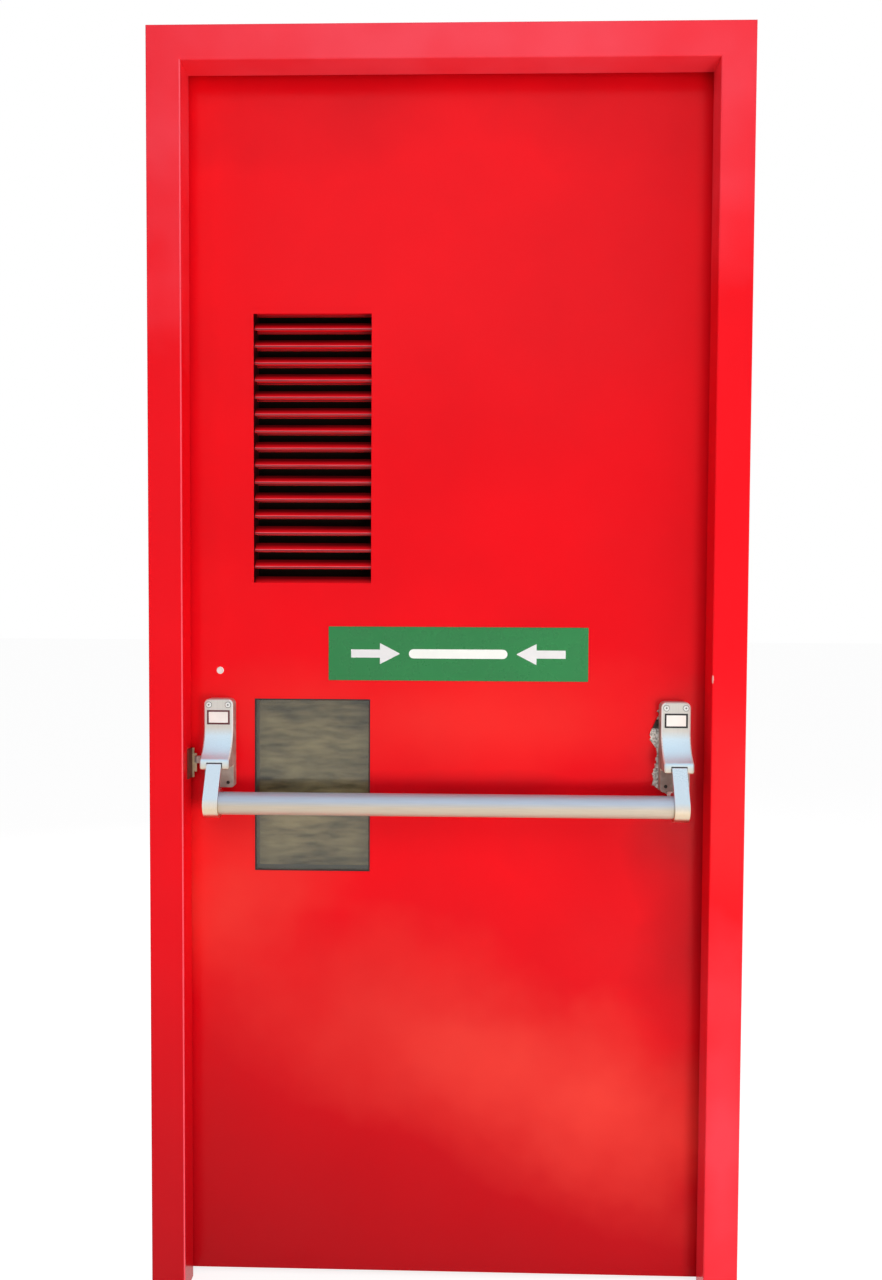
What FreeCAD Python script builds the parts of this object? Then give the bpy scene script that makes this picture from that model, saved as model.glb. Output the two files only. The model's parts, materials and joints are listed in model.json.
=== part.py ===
import FreeCAD, Part
import math
import os

# Single-leaf steel utility door in a pressed steel frame, with a push bar on the room side.
# Millimetres. The origin lies on the wall-side lip of the hinge jamb, at floor level.
# +X runs from the lock jamb to the hinge jamb, +Y the way the leaf opens, +Z up.

# Pressed frame
FRAME_WIDTH = 1000.0
FRAME_HEIGHT = 2140.0
FRAME_DEPTH = 105.0
FACE_WIDTH = 57.5
STOP_HEIGHT = 16.0
LIP_WIDTH = 16.0
FRAME_SHEET = 1.6
FRAME_BEND = 2.4

# Wall anchors inside the jambs
ANCHOR_HEIGHT = 40.0
ANCHOR_SHEET = 2.0
ANCHOR_SIDE_GAP = 1.0
ANCHOR_HOLE_RADIUS = 5.5
ANCHOR_COUNT = 4
ANCHOR_FROM_END = 110.0

# Door leaf
LEAF_THICKNESS = 46.0
LEAF_SKIN = 1.2
LEAF_BEND = 2.0
SEAM_WIDTH = 1.0
LOCK_GAP = 7.0
HEAD_GAP = 5.0
FLOOR_GAP = 12.0
SEAL_GAP = 5.0
LEAF_SETBACK = 1.0
CHANNEL_HEIGHT = 25.0

# Louvre, measured on the skins' cut-out
OPENINGS_FROM_LOCK_EDGE = 219.0
LOUVRE_WIDTH = 203.0
LOUVRE_HEIGHT = 460.0
LOUVRE_BOTTOM_Z = 1226.0
LOUVRE_SHEET = 1.2
CASING_BELOW = 4.5
CASING_ABOVE = 19.0
BLADE_PITCH = 29.2
BLADE_SHEET = 1.0
BLADE_LIP = 3.5
BLADE_RISE = 12.0
BLADE_HALF_DEPTH = 12.0
BLADE_SETBACK = 9.0
BLADE_CLEARANCE = 0.4

# Vision panel, measured on the skins' cut-out
VISION_WIDTH = 201.0
VISION_HEIGHT = 301.0
VISION_BOTTOM_Z = 724.0
GLASS_THICKNESS = 6.0
GLASS_COVER = 8.0
VISION_SHEET = 1.2
BEAD_WIDTH = 15.0
BEAD_THICKNESS = 3.0

# Sign plate
SIGN_WIDTH = 448.0
SIGN_HEIGHT = 93.0
SIGN_THICKNESS = 1.5
SIGN_BOTTOM_Z = 1058.0
SIGN_FROM_LOCK_EDGE = 471.5

# Butt hinges
HINGE_HEIGHT = 100.0
HINGE_PLATE = 2.0
HINGE_PLATE_WIDTH = 36.0
HINGE_PLATE_CLEARANCE = 1.0
HINGE_KNUCKLES = 3
KNUCKLE_RADIUS = 6.5
KNUCKLE_GAP = 0.5
KNUCKLE_STANDOFF = 0.5
PIN_RADIUS = 4.0
RUNNING_CLEARANCE = 0.05
TOP_HINGE_FROM_LEAF_TOP = 200.0
BOTTOM_HINGE_FROM_LEAF_BOTTOM = 230.0

# Push bar cases, depths measured from the leaf's face
CASE_FROM_LOCK_EDGE = 61.0
CASE_FROM_HINGE_EDGE = 62.5
CASE_BOTTOM_Z = 873.0
CASE_WIDTH = 50.0
CASE_HEIGHT = 153.0
CASE_WALL = 2.5
CASE_DEPTH = 24.0
CASE_TOP_CORNER = 10.0
CASE_FOOT_CORNER = 4.0
CASE_RIM = 2.0
SCOOP_TOP = 105.0
NOSE_TOP = 52.0
NOSE_BOTTOM = 36.0
NOSE_DEPTH = 55.0
FOOT_DEPTH = 20.0
BASE_SHEET = 2.5
BASE_CLEARANCE = 0.3
EAR_SHEET = 3.0
EAR_REACH = 7.0
EAR_CLEARANCE = 0.5
SLOT_CLEARANCE = 1.0
SLOT_HEADROOM = 4.0

# Lever arms and bar
PIVOT_HEIGHT = 47.0
PIVOT_DEPTH = 28.0
PIVOT_RADIUS = 4.0
SEAT_CLEARANCE = 0.02
BOSS_RADIUS = 7.5
ARM_WIDTH = 25.0
ARM_THICKNESS = 8.0
ARM_HEADROOM = 1.5
ARM_KNEE_PROUD = 1.5
ARM_KNEE_ROUND = 3.0
BAR_RADIUS = 19.0
BAR_WALL = 1.5
BAR_DROP = 66.0
BAR_DEPTH = 62.0
SOCKET_WALL = 5.5
SOCKET_FLOOR = 5.0

# Latch bolt and keeper
KEEPER_HEIGHT = 51.0
KEEPER_DROP = 6.0
KEEPER_SHEET = 2.5
KEEPER_LENGTH = 26.0
KEEPER_UPSTAND = 3.0
KEEPER_SETBACK = 2.0
KEEPER_REACH = 6.0
CATCH_REACH = 10.5
CATCH_HEIGHT = 32.0
BOLT_THICKNESS = 7.5
BOLT_HEIGHT = 12.0
BOLT_LENGTH = 43.0
BOLT_OVERLAP = 3.0
BOLT_BEVEL = 5.0
BOLT_CLEARANCE = 0.3
BOLT_KEEPER_GAP = 0.5

# How far a cutting solid runs past what it cuts, and how near two places count as one
OVERRUN = 1.0
SAME_POINT = 1e-6
SAME_LEVEL = 1e-3

# Places worked out from the sizes above
FRONT_Y = -LIP_WIDTH / 2
REAR_Y = FRONT_Y + FRAME_DEPTH
SHOULDER_Y = REAR_Y - LEAF_SETBACK - LEAF_THICKNESS - SEAL_GAP
REBATE_FACE = FACE_WIDTH - STOP_HEIGHT
HINGE_GAP = 2 * HINGE_PLATE + HINGE_PLATE_CLEARANCE
LEAF_FRONT_Y = SHOULDER_Y + SEAL_GAP
LEAF_REAR_Y = LEAF_FRONT_Y + LEAF_THICKNESS
LEAF_MIDDLE_Y = LEAF_FRONT_Y + LEAF_THICKNESS / 2
LEAF_HINGE_X = -REBATE_FACE - HINGE_GAP
LEAF_LOCK_X = -FRAME_WIDTH + REBATE_FACE + LOCK_GAP
LEAF_BOTTOM_Z = FLOOR_GAP
LEAF_TOP_Z = FRAME_HEIGHT - REBATE_FACE - HEAD_GAP
OPENINGS_X = LEAF_LOCK_X + OPENINGS_FROM_LOCK_EDGE
PIN_X = -REBATE_FACE - HINGE_GAP / 2
PIN_Y = REAR_Y + KNUCKLE_RADIUS + KNUCKLE_STANDOFF
LOCK_CASE_X = LEAF_LOCK_X + CASE_FROM_LOCK_EDGE
HINGE_CASE_X = LEAF_HINGE_X - CASE_FROM_HINGE_EDGE
PIVOT_Y = LEAF_FRONT_Y - PIVOT_DEPTH
PIVOT_Z = CASE_BOTTOM_Z + PIVOT_HEIGHT
BAR_Y = LEAF_FRONT_Y - BAR_DEPTH
BAR_Z = PIVOT_Z - BAR_DROP
SOCKET_RADIUS = BAR_RADIUS + SOCKET_WALL
LOCK_REVEAL_X = -FRAME_WIDTH + FACE_WIDTH
KEEPER_BACK_Y = SHOULDER_Y - KEEPER_SETBACK
BOLT_BACK_Y = KEEPER_BACK_Y - KEEPER_UPSTAND - BOLT_KEEPER_GAP
BOLT_TIP_X = LOCK_REVEAL_X + CATCH_REACH - BOLT_OVERLAP
KEEPER_MIDDLE_Z = PIVOT_Z - KEEPER_DROP

V = FreeCAD.Vector


def point(plane, u, v, at):
    """A point of a drawing plane: XY at a height, YZ at an X, or XZ at a Y."""
    if plane == "XY":
        return V(u, v, at)
    if plane == "YZ":
        return V(at, u, v)
    return V(u, at, v)


def outline(plane, corners, at):
    """A closed wire through corners (u, v, round) or (u, v, round, via), where via bends the next side."""
    places = [point(plane, c[0], c[1], at) for c in corners]
    count = len(corners)
    starts = []
    ends = []
    edges = []
    for i, corner in enumerate(corners):
        here = places[i]
        radius = corner[2]
        if radius == 0:
            starts.append(here)
            ends.append(here)
            continue
        back = (places[i - 1] - here).normalize()
        ahead = (places[(i + 1) % count] - here).normalize()
        half = back.getAngle(ahead) / 2
        reach = radius / math.tan(half)
        inward = (back + ahead).normalize()
        starts.append(here + back * reach)
        ends.append(here + ahead * reach)
        middle = here + inward * (radius / math.sin(half) - radius)
        edges.append(Part.Arc(starts[i], middle, ends[i]).toShape())
    for i, corner in enumerate(corners):
        after = starts[(i + 1) % count]
        if len(corner) > 3:
            via = point(plane, corner[3][0], corner[3][1], at)
            edges.append(Part.Arc(ends[i], via, after).toShape())
        elif ends[i].distanceToPoint(after) > SAME_POINT:
            edges.append(Part.makeLine(ends[i], after))
    return Part.Wire(Part.__sortEdges__(edges))


def prism(plane, corners, start, length):
    """A drawn outline pushed along the normal of its plane, from start."""
    direction = {"XY": V(0, 0, length), "YZ": V(length, 0, 0), "XZ": V(0, length, 0)}[plane]
    return Part.Face(outline(plane, corners, start)).extrude(direction)


def block(low, high):
    """A box between two corners."""
    size = [b - a for a, b in zip(low, high)]
    return Part.makeBox(size[0], size[1], size[2], V(*low))


def rod(radius, start, direction, length):
    """A round bar from a point along a direction."""
    return Part.makeCylinder(radius, length, V(*start), V(*direction))


def panel(middle_x, low_z, width, height, near_y, far_y):
    """A flat upright plate between two depths."""
    half = width / 2
    return block((middle_x - half, near_y, low_z), (middle_x + half, far_y, low_z + height))


def ring(middle_x, low_z, width, height, border, near_y, far_y):
    """A picture-frame plate around a clear opening."""
    outer = panel(middle_x, low_z - border, width + 2 * border, height + 2 * border, near_y, far_y)
    return outer.cut(panel(middle_x, low_z, width, height, near_y, far_y))


def pressed_section():
    """The folded sheet as (distance from the wall plane, depth, bend), open to the wall and sharp inside."""
    sheet = FRAME_SHEET
    outside = FRAME_BEND
    rebate = FRAME_BEND - FRAME_SHEET
    return [
        (0, FRONT_Y + LIP_WIDTH, 0),
        (0, FRONT_Y, outside),
        (FACE_WIDTH, FRONT_Y, outside),
        (FACE_WIDTH, SHOULDER_Y, outside),
        (REBATE_FACE, SHOULDER_Y, rebate),
        (REBATE_FACE, REAR_Y, outside),
        (0, REAR_Y, outside),
        (0, REAR_Y - LIP_WIDTH, 0),
        (sheet, REAR_Y - LIP_WIDTH, 0),
        (sheet, REAR_Y - sheet, 0),
        (REBATE_FACE - sheet, REAR_Y - sheet, 0),
        (REBATE_FACE - sheet, SHOULDER_Y - sheet, 0),
        (FACE_WIDTH - sheet, SHOULDER_Y - sheet, 0),
        (FACE_WIDTH - sheet, FRONT_Y + sheet, 0),
        (sheet, FRONT_Y + sheet, 0),
        (sheet, FRONT_Y + LIP_WIDTH, 0),
    ]


def across_frame(shape):
    """The same piece on the other side of the frame's middle."""
    return shape.mirror(V(-FRAME_WIDTH / 2, 0, 0), V(1, 0, 0))


def mitre_waste():
    """The corner that a hinge-side jamb loses to the head, cut at 45 degrees from the outer corner."""
    reach = FACE_WIDTH + OVERRUN
    corners = [
        (-reach, FRAME_HEIGHT - reach, 0),
        (OVERRUN, FRAME_HEIGHT + OVERRUN, 0),
        (-reach, FRAME_HEIGHT + OVERRUN, 0),
    ]
    return prism("XZ", corners, FRONT_Y - OVERRUN, FRAME_DEPTH + 2 * OVERRUN)


def anchor_levels():
    """Heights of the wall bolts, evenly spaced between the two end ones."""
    step = (FRAME_HEIGHT - 2 * ANCHOR_FROM_END) / (ANCHOR_COUNT - 1)
    return [ANCHOR_FROM_END + i * step for i in range(ANCHOR_COUNT)]


def anchor_holes():
    """Bolt holes through the rebate and the anchor straps of the hinge jamb."""
    middle_y = (SHOULDER_Y + REAR_Y) / 2
    start_x = -FACE_WIDTH
    return [rod(ANCHOR_HOLE_RADIUS, (start_x, middle_y, z), (1, 0, 0), FACE_WIDTH) for z in anchor_levels()]


def hinge_jamb():
    """The upright of the frame that carries the hinges."""
    corners = [(-c[0], c[1], c[2]) for c in pressed_section()]
    upright = prism("XY", corners, 0, FRAME_HEIGHT).cut(mitre_waste())
    return upright.cut(anchor_holes())


def frame_head():
    """The frame's top member, mitred to both uprights."""
    corners = [(c[1], FRAME_HEIGHT - c[0], c[2]) for c in pressed_section()]
    bar = prism("YZ", corners, -FRAME_WIDTH, FRAME_WIDTH)
    reach = FACE_WIDTH + OVERRUN
    keep = [
        (OVERRUN, FRAME_HEIGHT + OVERRUN, 0),
        (-FRAME_WIDTH - OVERRUN, FRAME_HEIGHT + OVERRUN, 0),
        (-FRAME_WIDTH + reach, FRAME_HEIGHT - reach, 0),
        (-reach, FRAME_HEIGHT - reach, 0),
    ]
    return bar.common(prism("XZ", keep, FRONT_Y - OVERRUN, FRAME_DEPTH + 2 * OVERRUN))


def hinge_jamb_anchors():
    """Straps welded behind the lips of the hinge jamb, one at each bolt level."""
    near_y = FRONT_Y + FRAME_SHEET + ANCHOR_SIDE_GAP
    far_y = REAR_Y - FRAME_SHEET - ANCHOR_SIDE_GAP
    outer_x = -FRAME_SHEET
    inner_x = outer_x - ANCHOR_SHEET
    straps = []
    for level in anchor_levels():
        low_z = level - ANCHOR_HEIGHT / 2
        strap = block((inner_x, near_y, low_z), (outer_x, far_y, low_z + ANCHOR_HEIGHT))
        straps.append(strap.cut(anchor_holes()))
    return Part.makeCompound(straps)


def through_openings():
    """The cut-outs of the louvre and the vision panel, right through the leaf."""
    near_y = LEAF_FRONT_Y - OVERRUN
    far_y = LEAF_REAR_Y + OVERRUN
    louvre = panel(OPENINGS_X, LOUVRE_BOTTOM_Z, LOUVRE_WIDTH, LOUVRE_HEIGHT, near_y, far_y)
    vision = panel(OPENINGS_X, VISION_BOTTOM_Z, VISION_WIDTH, VISION_HEIGHT, near_y, far_y)
    return [louvre, vision]


def leaf_skin_inside():
    """The room-side sheet, folded round both long edges as far as the seam."""
    seam_y = LEAF_MIDDLE_Y - SEAM_WIDTH / 2
    corners = [
        (LEAF_LOCK_X, seam_y, 0),
        (LEAF_LOCK_X, LEAF_FRONT_Y, LEAF_BEND),
        (LEAF_HINGE_X, LEAF_FRONT_Y, LEAF_BEND),
        (LEAF_HINGE_X, seam_y, 0),
        (LEAF_HINGE_X - LEAF_SKIN, seam_y, 0),
        (LEAF_HINGE_X - LEAF_SKIN, LEAF_FRONT_Y + LEAF_SKIN, 0),
        (LEAF_LOCK_X + LEAF_SKIN, LEAF_FRONT_Y + LEAF_SKIN, 0),
        (LEAF_LOCK_X + LEAF_SKIN, seam_y, 0),
    ]
    tray = prism("XY", corners, LEAF_BOTTOM_Z, LEAF_TOP_Z - LEAF_BOTTOM_Z)
    return tray.cut(through_openings())


def leaf_skin_outside():
    """The far-side sheet, the mirror image of the room-side one."""
    return leaf_skin_inside().mirror(V(0, LEAF_MIDDLE_Y, 0), V(0, 1, 0))


def edge_channel(web_z, up):
    """A folded channel closing the leaf's top or bottom, its flanges pointing up or down into the leaf."""
    near_y = LEAF_FRONT_Y + LEAF_SKIN
    far_y = LEAF_REAR_Y - LEAF_SKIN
    tip_z = web_z + up * CHANNEL_HEIGHT
    floor_z = web_z + up * LEAF_SKIN
    corners = [
        (near_y, tip_z, 0),
        (near_y, web_z, LEAF_BEND),
        (far_y, web_z, LEAF_BEND),
        (far_y, tip_z, 0),
        (far_y - LEAF_SKIN, tip_z, 0),
        (far_y - LEAF_SKIN, floor_z, 0),
        (near_y + LEAF_SKIN, floor_z, 0),
        (near_y + LEAF_SKIN, tip_z, 0),
    ]
    start_x = LEAF_LOCK_X + LEAF_BEND
    return prism("YZ", corners, start_x, LEAF_HINGE_X - LEAF_BEND - start_x)


def leaf_core():
    """The infill board between the skins, cut round the louvre casing and the glass."""
    low = (LEAF_LOCK_X + LEAF_SKIN, LEAF_FRONT_Y + LEAF_SKIN, LEAF_BOTTOM_Z + CHANNEL_HEIGHT)
    high = (LEAF_HINGE_X - LEAF_SKIN, LEAF_REAR_Y - LEAF_SKIN, LEAF_TOP_Z - CHANNEL_HEIGHT)
    board = block(low, high)
    rim = LOUVRE_SHEET
    casing = panel(OPENINGS_X, LOUVRE_BOTTOM_Z - CASING_BELOW - rim, LOUVRE_WIDTH + 2 * rim,
                   LOUVRE_HEIGHT + CASING_BELOW + CASING_ABOVE + 2 * rim, LEAF_FRONT_Y, LEAF_REAR_Y)
    cover = GLASS_COVER
    glass = panel(OPENINGS_X, VISION_BOTTOM_Z - cover, VISION_WIDTH + 2 * cover,
                  VISION_HEIGHT + 2 * cover, LEAF_FRONT_Y, LEAF_REAR_Y)
    return board.cut([casing, glass])


def louvre_casing():
    """The folded lining that carries the blades, a little taller than the skins' cut-out."""
    return ring(OPENINGS_X, LOUVRE_BOTTOM_Z - CASING_BELOW, LOUVRE_WIDTH,
                LOUVRE_HEIGHT + CASING_BELOW + CASING_ABOVE, LOUVRE_SHEET,
                LEAF_FRONT_Y + LEAF_SKIN, LEAF_REAR_Y - LEAF_SKIN)


def louvre_blade(lip_bottom_z):
    """One inverted-V blade with an upright lip along each lower edge."""
    slope = math.atan2(BLADE_RISE, BLADE_HALF_DEPTH)
    drop = BLADE_SHEET / math.cos(slope)
    front_y = LEAF_FRONT_Y + BLADE_SETBACK
    ridge_y = front_y + BLADE_HALF_DEPTH
    back_y = ridge_y + BLADE_HALF_DEPTH
    lip_top_z = lip_bottom_z + BLADE_LIP
    ridge_z = lip_top_z + BLADE_RISE
    under_z = lip_top_z + BLADE_SHEET * math.tan(slope) - drop
    corners = [
        (front_y, lip_bottom_z, 0),
        (front_y, lip_top_z, 0),
        (ridge_y, ridge_z, 0),
        (back_y, lip_top_z, 0),
        (back_y, lip_bottom_z, 0),
        (back_y - BLADE_SHEET, lip_bottom_z, 0),
        (back_y - BLADE_SHEET, under_z, 0),
        (ridge_y, ridge_z - drop, 0),
        (front_y + BLADE_SHEET, under_z, 0),
        (front_y + BLADE_SHEET, lip_bottom_z, 0),
    ]
    return prism("YZ", corners, OPENINGS_X - LOUVRE_WIDTH / 2, LOUVRE_WIDTH)


def louvre_blades():
    """Blades evenly spaced from the casing's floor to its top, as near the pitch as a whole number allows."""
    first_z = LOUVRE_BOTTOM_Z - CASING_BELOW + BLADE_CLEARANCE
    room = LOUVRE_HEIGHT + CASING_BELOW + CASING_ABOVE - 2 * BLADE_CLEARANCE
    climb = room - BLADE_LIP - BLADE_RISE
    steps = max(1, round(climb / BLADE_PITCH))
    return Part.makeCompound([louvre_blade(first_z + i * climb / steps) for i in range(steps + 1)])


def vision_glass():
    """The pane, bedded behind the room-side skin."""
    near_y = LEAF_FRONT_Y + LEAF_SKIN
    return panel(OPENINGS_X, VISION_BOTTOM_Z - GLASS_COVER, VISION_WIDTH + 2 * GLASS_COVER,
                 VISION_HEIGHT + 2 * GLASS_COVER, near_y, near_y + GLASS_THICKNESS)


def vision_casing():
    """The lining from the back of the pane to the far skin."""
    return ring(OPENINGS_X, VISION_BOTTOM_Z, VISION_WIDTH, VISION_HEIGHT, VISION_SHEET,
                LEAF_FRONT_Y + LEAF_SKIN + GLASS_THICKNESS, LEAF_REAR_Y - LEAF_SKIN)


def vision_bead():
    """The flat bead round the pane on the far side."""
    return ring(OPENINGS_X, VISION_BOTTOM_Z, VISION_WIDTH, VISION_HEIGHT, BEAD_WIDTH,
                LEAF_REAR_Y, LEAF_REAR_Y + BEAD_THICKNESS)


def exit_sign_plate():
    """The thin plate fixed on the room-side skin above the bar."""
    middle_x = LEAF_LOCK_X + SIGN_FROM_LOCK_EDGE
    return panel(middle_x, SIGN_BOTTOM_Z, SIGN_WIDTH, SIGN_HEIGHT,
                 LEAF_FRONT_Y - SIGN_THICKNESS, LEAF_FRONT_Y)


def hinge_levels():
    """Middle heights of the bottom, middle and top hinge."""
    bottom = LEAF_BOTTOM_Z + BOTTOM_HINGE_FROM_LEAF_BOTTOM
    top = LEAF_TOP_Z - TOP_HINGE_FROM_LEAF_TOP
    return {"bottom": bottom, "middle": (bottom + top) / 2, "top": top}


def hinge_half(level, side, first):
    """One leaf of a butt hinge: side 1 on the jamb, -1 on the door; its knuckles start at the given place."""
    low_z = level - HINGE_HEIGHT / 2
    outer_x = PIN_X + side * HINGE_GAP / 2
    inner_x = outer_x - side * HINGE_PLATE
    near_x = min(outer_x, inner_x)
    far_x = max(outer_x, inner_x)
    back_y = PIN_Y - KNUCKLE_RADIUS - KNUCKLE_STANDOFF
    half = block((near_x, back_y - HINGE_PLATE_WIDTH, low_z), (far_x, back_y, low_z + HINGE_HEIGHT))
    knuckle = (HINGE_HEIGHT - (HINGE_KNUCKLES - 1) * KNUCKLE_GAP) / HINGE_KNUCKLES
    for i in range(first, HINGE_KNUCKLES, 2):
        start_z = low_z + i * (knuckle + KNUCKLE_GAP)
        barrel = rod(KNUCKLE_RADIUS, (PIN_X, PIN_Y, start_z), (0, 0, 1), knuckle)
        tab = block((near_x, back_y, start_z), (far_x, PIN_Y, start_z + knuckle))
        half = half.fuse([barrel, tab])
    return half


def pin_rod(level, radius):
    """The hinge pin's round, flush with both ends of the barrel."""
    return rod(radius, (PIN_X, PIN_Y, level - HINGE_HEIGHT / 2), (0, 0, 1), HINGE_HEIGHT)


def hinge_jamb_half(level):
    """The jamb's half, with the pin fixed in its knuckles so that it can't be drawn from outside."""
    return hinge_half(level, 1, 0).fuse(pin_rod(level, PIN_RADIUS)).removeSplitter()


def hinge_leaf_half(level):
    """The door's half, whose knuckle turns on the pin."""
    return hinge_half(level, -1, 1).cut(pin_rod(level, PIN_RADIUS + RUNNING_CLEARANCE)).removeSplitter()


def case_body(inset):
    """The scooped case as a solid, drawn in from its outside by inset on all sides but the back."""
    back = LEAF_FRONT_Y
    low = CASE_BOTTOM_Z + inset
    high = CASE_BOTTOM_Z + CASE_HEIGHT - inset
    face = back - CASE_DEPTH + inset
    nose = back - NOSE_DEPTH + inset
    foot = back - FOOT_DEPTH + inset
    scoop_top = CASE_BOTTOM_Z + SCOOP_TOP
    nose_top = CASE_BOTTOM_Z + NOSE_TOP
    nose_bottom = CASE_BOTTOM_Z + NOSE_BOTTOM + inset
    out = NOSE_DEPTH - CASE_DEPTH
    fall = SCOOP_TOP - NOSE_TOP
    radius = (out * out + fall * fall) / (2 * out) + inset
    middle_y = face - radius
    end_z = scoop_top - math.sqrt(radius * radius - (middle_y - nose) ** 2)
    turn = math.asin((scoop_top - end_z) / radius) / 2
    via = (middle_y + radius * math.cos(turn), scoop_top - radius * math.sin(turn))
    corners = [
        (back, low, 0),
        (back, high, 0),
        (face, high, 0),
        (face, scoop_top, 0, via),
        (nose, end_z, 0),
        (nose, nose_bottom, 0),
        (foot, nose_bottom, 0),
        (foot, low, 0),
    ]
    return prism("YZ", corners, -CASE_WIDTH / 2 + inset, CASE_WIDTH - 2 * inset)


def case_front(inset, corner_inset):
    """Corners of the case seen from the front, drawn in by inset, with larger rounds at the top."""
    half = CASE_WIDTH / 2 - inset
    low = CASE_BOTTOM_Z + inset
    high = CASE_BOTTOM_Z + CASE_HEIGHT - inset
    top_round = CASE_TOP_CORNER - corner_inset
    foot_round = CASE_FOOT_CORNER - corner_inset
    return [
        (-half, low, foot_round),
        (half, low, foot_round),
        (half, high, top_round),
        (-half, high, top_round),
    ]


def case_block(inset):
    """The scooped case with its rounded corners, as a solid."""
    front = prism("XZ", case_front(inset, inset), LEAF_FRONT_Y - NOSE_DEPTH, NOSE_DEPTH)
    return case_body(inset).common(front)


def case_rims(body):
    """The edges round the front of a case: over its top, down the scoop, and along the nose."""
    face_y = LEAF_FRONT_Y - CASE_DEPTH
    scoop_z = CASE_BOTTOM_Z + SCOOP_TOP
    front = [edge for edge in body.Edges if edge.BoundBox.YMax < face_y + SAME_LEVEL]
    return [edge for edge in front if abs(edge.CenterOfMass.z - scoop_z) > SAME_LEVEL]


def case_cover(middle_x, bolt_opening):
    """The cast cover: a shell open to the leaf, notched for the lever and, at the lock, for the bolt."""
    outside = case_block(0)
    outside = outside.makeChamfer(CASE_RIM, case_rims(outside))
    half_slot = ARM_WIDTH / 2 + SLOT_CLEARANCE
    slot_front = LEAF_FRONT_Y - NOSE_DEPTH - OVERRUN
    slot_back = PIVOT_Y + BOSS_RADIUS + SLOT_CLEARANCE
    slot_bottom = CASE_BOTTOM_Z + NOSE_BOTTOM - OVERRUN
    slot_top = CASE_BOTTOM_Z + NOSE_TOP - SLOT_HEADROOM
    slot = block((-half_slot, slot_front, slot_bottom), (half_slot, slot_back, slot_top))
    cover = outside.cut([case_block(CASE_WALL), slot])
    cover.translate(V(middle_x, 0, 0))
    if bolt_opening:
        cover = cover.cut(bolt_blank(BOLT_CLEARANCE))
    return cover


def case_base(middle_x, bolt_opening):
    """The fixing plate inside the cover, with two ears for the lever's pivot."""
    corners = case_front(CASE_WALL + BASE_CLEARANCE, CASE_WALL)
    base = prism("XZ", corners, LEAF_FRONT_Y - BASE_SHEET, BASE_SHEET)
    ear_root = LEAF_FRONT_Y - BASE_SHEET / 2
    for side in (-1, 1):
        inner_x = side * (ARM_WIDTH / 2 + EAR_CLEARANCE)
        near_x = min(inner_x, inner_x + side * EAR_SHEET)
        ear = block((near_x, PIVOT_Y - EAR_REACH, PIVOT_Z - EAR_REACH),
                    (near_x + EAR_SHEET, ear_root, PIVOT_Z + EAR_REACH))
        base = base.fuse(ear)
    bore = rod(PIVOT_RADIUS + SEAT_CLEARANCE, (-CASE_WIDTH / 2, PIVOT_Y, PIVOT_Z), (1, 0, 0), CASE_WIDTH)
    base = base.cut(bore).removeSplitter()
    base.translate(V(middle_x, 0, 0))
    if bolt_opening:
        base = base.cut(bolt_blank(BOLT_CLEARANCE))
    return base


def pivot_pin(middle_x):
    """The pin that joins the lever to the ears."""
    half = ARM_WIDTH / 2 + EAR_CLEARANCE + EAR_SHEET
    return rod(PIVOT_RADIUS, (middle_x - half, PIVOT_Y, PIVOT_Z), (1, 0, 0), 2 * half)


def lever_arm(middle_x, inward):
    """A cranked lever from its pivot boss out to the socket that holds the bar's end; inward is +1 or -1."""
    knee_y = LEAF_FRONT_Y - NOSE_DEPTH - ARM_KNEE_PROUD
    knee_z = CASE_BOTTOM_Z + NOSE_TOP - SLOT_HEADROOM - ARM_HEADROOM
    across_y = BAR_Y - knee_y
    across_z = BAR_Z - knee_z
    span = math.hypot(across_y, across_z)
    heading = math.atan2(across_z, across_y) - math.asin(SOCKET_RADIUS / span)
    ahead_y = math.cos(heading)
    ahead_z = math.sin(heading)
    run = math.sqrt(span * span - SOCKET_RADIUS * SOCKET_RADIUS)
    inner_z = knee_z - ARM_THICKNESS
    inner_run = (ARM_THICKNESS - ARM_THICKNESS * ahead_y) / -ahead_z
    inner_y = knee_y - ARM_THICKNESS * ahead_z + inner_run * ahead_y
    inner_reach = SOCKET_RADIUS - ARM_THICKNESS
    corners = [
        (PIVOT_Y, knee_z, 0),
        (knee_y, knee_z, ARM_KNEE_ROUND),
        (knee_y + run * ahead_y, knee_z + run * ahead_z, 0),
        (BAR_Y, BAR_Z, 0),
        (BAR_Y + inner_reach * ahead_z, BAR_Z - inner_reach * ahead_y, 0),
        (inner_y, inner_z, 0),
        (PIVOT_Y, inner_z, 0),
    ]
    start_x = -ARM_WIDTH / 2
    strap = prism("YZ", corners, start_x, ARM_WIDTH)
    boss = rod(BOSS_RADIUS, (start_x, PIVOT_Y, PIVOT_Z), (1, 0, 0), ARM_WIDTH)
    socket = rod(SOCKET_RADIUS, (start_x, BAR_Y, BAR_Z), (1, 0, 0), ARM_WIDTH)
    arm = strap.fuse([boss, socket])
    bore = rod(PIVOT_RADIUS + RUNNING_CLEARANCE, (start_x, PIVOT_Y, PIVOT_Z), (1, 0, 0), ARM_WIDTH)
    mouth_x = inward * ARM_WIDTH / 2
    seat_depth = ARM_WIDTH - SOCKET_FLOOR
    seat = rod(BAR_RADIUS + SEAT_CLEARANCE, (mouth_x, BAR_Y, BAR_Z), (-inward, 0, 0), seat_depth)
    arm = arm.cut([bore, seat]).removeSplitter()
    arm.translate(V(middle_x, 0, 0))
    return arm


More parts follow.
